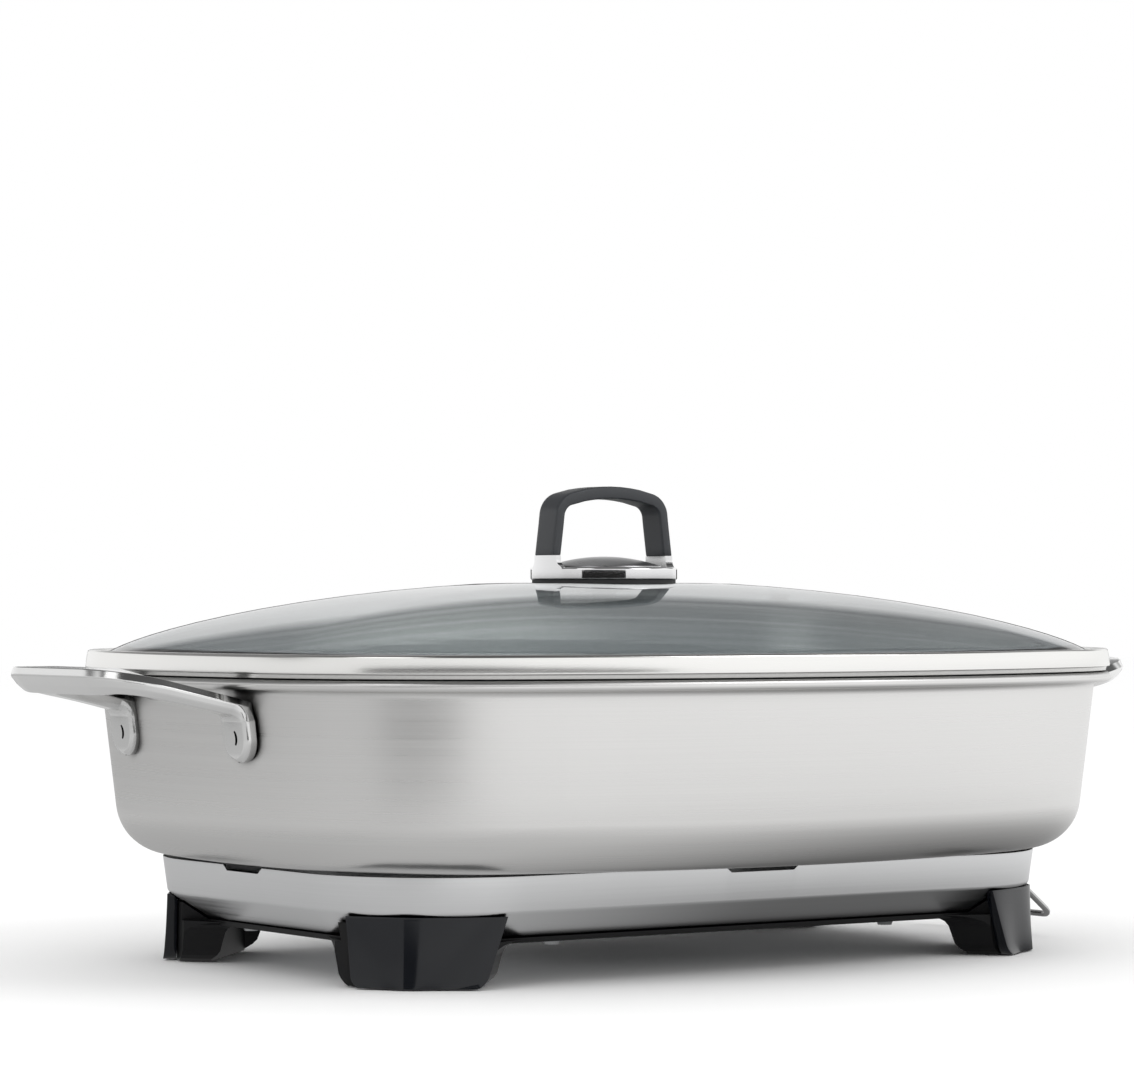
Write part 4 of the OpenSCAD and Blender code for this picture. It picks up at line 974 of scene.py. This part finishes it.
def make_stage():
    """White floor with the object's shadow. Metal sees it instead as a glowing grey sweep of painted light
    and shade, dimmer to the back left, with a painted shadow close by the object."""
    floor = add_sheet("floor", 12.0, 12.0)
    s = Shader("floor", Base_Color=(*grey(1.0), 1), Roughness=0.8, Specular_IOR_Level=0.0)
    split = s.node("ShaderNodeSeparateXYZ")
    s.link(s.place, split.inputs[0])
    diagonal = s.sum(split.outputs["X"], split.outputs["Y"], -1.0)
    # Painted light: the floor, as metal sees it, is darker to the back left
    sweep = s.gradient(
        s.ramp(diagonal, 0, 1, -1.1, 1.1), [(0.05, 0.5), (0.2, 0.6), (0.42, 0.66), (0.6, 0.92), (1.0, 1.0)]
    )
    distance = s.node("ShaderNodeVectorMath", operation="DISTANCE")
    s.link(s.place, distance.inputs[0])
    distance.inputs[1].default_value = (0.08, 0, 0)
    # Painted shadow: darker close to the object, as the glow takes no real shadow
    near = s.gradient(
        s.ramp(distance.outputs["Value"], 0, 1, 0.0, 0.8),
        [(0.14, 0.16), (0.22, 0.4), (0.32, 0.7), (0.6, 1.0)],
    )
    # The floor glows with these greys for glossy rays: a painted reflection, not lit by the lamps
    painted_reflection_glow = s.node("ShaderNodeEmission")
    s.link(s.times(sweep, near), painted_reflection_glow.inputs["Color"])
    path = s.node("ShaderNodeLightPath")
    both = s.node("ShaderNodeMixShader")
    s.link(path.outputs["Is Glossy Ray"], both.inputs[0])
    s.link(s.shader.outputs[0], both.inputs[1])
    s.link(painted_reflection_glow.outputs[0], both.inputs[2])
    s.link(both.outputs[0], s.tree.nodes["Material Output"].inputs["Surface"])
    floor.data.materials.append(s.material)


def make_world():
    """White to the camera. Glass looks out on a dim room. Metal reflects a bright room in front of the
    object, and a low white backdrop under a dark, streaked ceiling behind it."""
    world = bpy.data.worlds.new("world")
    bpy.context.scene.world = world
    world.use_nodes = True
    w = Nodes(world.node_tree)
    place = w.node("ShaderNodeTexCoord").outputs["Generated"]
    split = w.node("ShaderNodeSeparateXYZ")
    w.link(place, split.inputs[0])
    x, y, z = split.outputs
    front = w.gradient(z, [(0.0, 0.86), (0.06, 0.95), (0.16, 1.0), (0.5, 1.0), (0.6, 0.12), (1.0, 0.08)])
    back = w.gradient(z, [(0.0, 0.95), (0.262, 0.97), (0.325, 0.26), (0.8, 0.2), (1.0, 0.3)])
    cloud = w.noise(w.scaled(place, (1.6, 1.6, 22)), detail=2.0, roughness=0.5)
    streaks = w.gradient(cloud, [(0.0, 0.8), (0.5, 0.92), (0.64, 1.5), (0.72, 1.7)])
    back = w.times(back, w.mix(w.ramp(z, 0, 1, 0.31, 0.35), grey(1.0), streaks))
    behind = w.ramp(y, 0, 1, 0.05, 0.4, interpolation_type="SMOOTHSTEP")
    sides = w.gradient(w.ramp(x, 0, 1, -1, 1), [(0.0, 0.8), (0.6, 1.0)])
    reflected = w.times(w.mix(behind, front, back), sides)
    path = w.node("ShaderNodeLightPath")
    dim = w.mix(z, (0.125, 0.14, 0.152), (0.45, 0.46, 0.47))
    colour = w.mix(path.outputs["Is Transmission Ray"], reflected, dim)
    colour = w.mix(path.outputs["Is Diffuse Ray"], colour, grey(1.0))
    colour = w.mix(path.outputs["Is Camera Ray"], colour, grey(1.0))
    background = w.tree.nodes["Background"]
    w.link(colour, background.inputs["Color"])
    background.inputs["Strength"].default_value = 1.0


def make_lamp(name, place, size, power):
    data = bpy.data.lights.new(name, "AREA")
    data.shape = "RECTANGLE"
    data.size, data.size_y = size
    data.energy = power
    aim(add_object(name, data), place, (0, 0, 0.1))


def make_card(name, place, target, size, level):
    """A plain card outside the picture that only shows in reflections."""
    card = add_sheet(name, *size)
    aim(card, place, target)
    s = Shader(name, Base_Color=(*grey(level), 1), Roughness=0.9, Specular_IOR_Level=0.0)
    card.data.materials.append(s.material)
    card.visible_camera = False
    card.visible_shadow = False
    card.visible_diffuse = False
    card.visible_transmission = False


def make_camera():
    data = bpy.data.cameras.new("camera")
    data.sensor_width = SENSOR_MM
    data.sensor_fit = "HORIZONTAL"
    data.lens = FOCAL_PX * SENSOR_MM / PHOTO_W
    camera = add_object("camera", data)
    camera.location = Vector(CAMERA_AT) * MM
    pitch = math.atan((HORIZON_ROW - PHOTO_H / 2) / FOCAL_PX)
    camera.rotation_euler = (math.pi / 2 + pitch, 0, -rad(CAMERA_TURN))
    bpy.context.scene.camera = camera


make_camera()
bpy.context.scene.view_settings.view_transform = "Standard"
make_world()
make_stage()
make_lamp("key", (1.1, -1.5, 1.7), (1.2, 0.9), 9)
make_lamp("fill", (-1.6, -0.6, 1.6), (0.9, 0.9), 3)
make_card("ring_card", (-0.258, -0.37, 0.16), (0, 0, 0.16), (0.6, 0.036), 0.02)
make_card("foot_card", (-0.419, -0.324, 0.02), (-0.157, -0.092, 0.02), (0.235, 0.036), 0.02)
make_card("back_card", (0.85, 1.236, 0.12), (0, 0, 0.12), (1.15, 0.24), 0.03)

# The CAD nodes' own materials, which show on the ones that no piece replaces
for item in frame["record"]["subparts"]:
    cad = frame["nodes"][item["node"]]
    cad.data.materials.clear()
    cad.data.materials.append(looks[item["material_slot"]])
# The vent eyelet gets the darker steel: painted shade in place of its dark reflections
frame["nodes"]["vent_eyelet"].data.materials[0] = looks["eyelet_steel"]

make_pan()
make_rim()
make_glass()
make_skirt()
make_side_handle(-1, "handle_left")
make_side_handle(1, "handle_right")
make_lid_base()
make_cap()
make_grip()
make_foot("foot_front_left", -1, -1)
make_foot("foot_front_right", 1, -1)
make_foot("foot_rear_left", -1, 1)
make_foot("foot_rear_right", 1, 1)
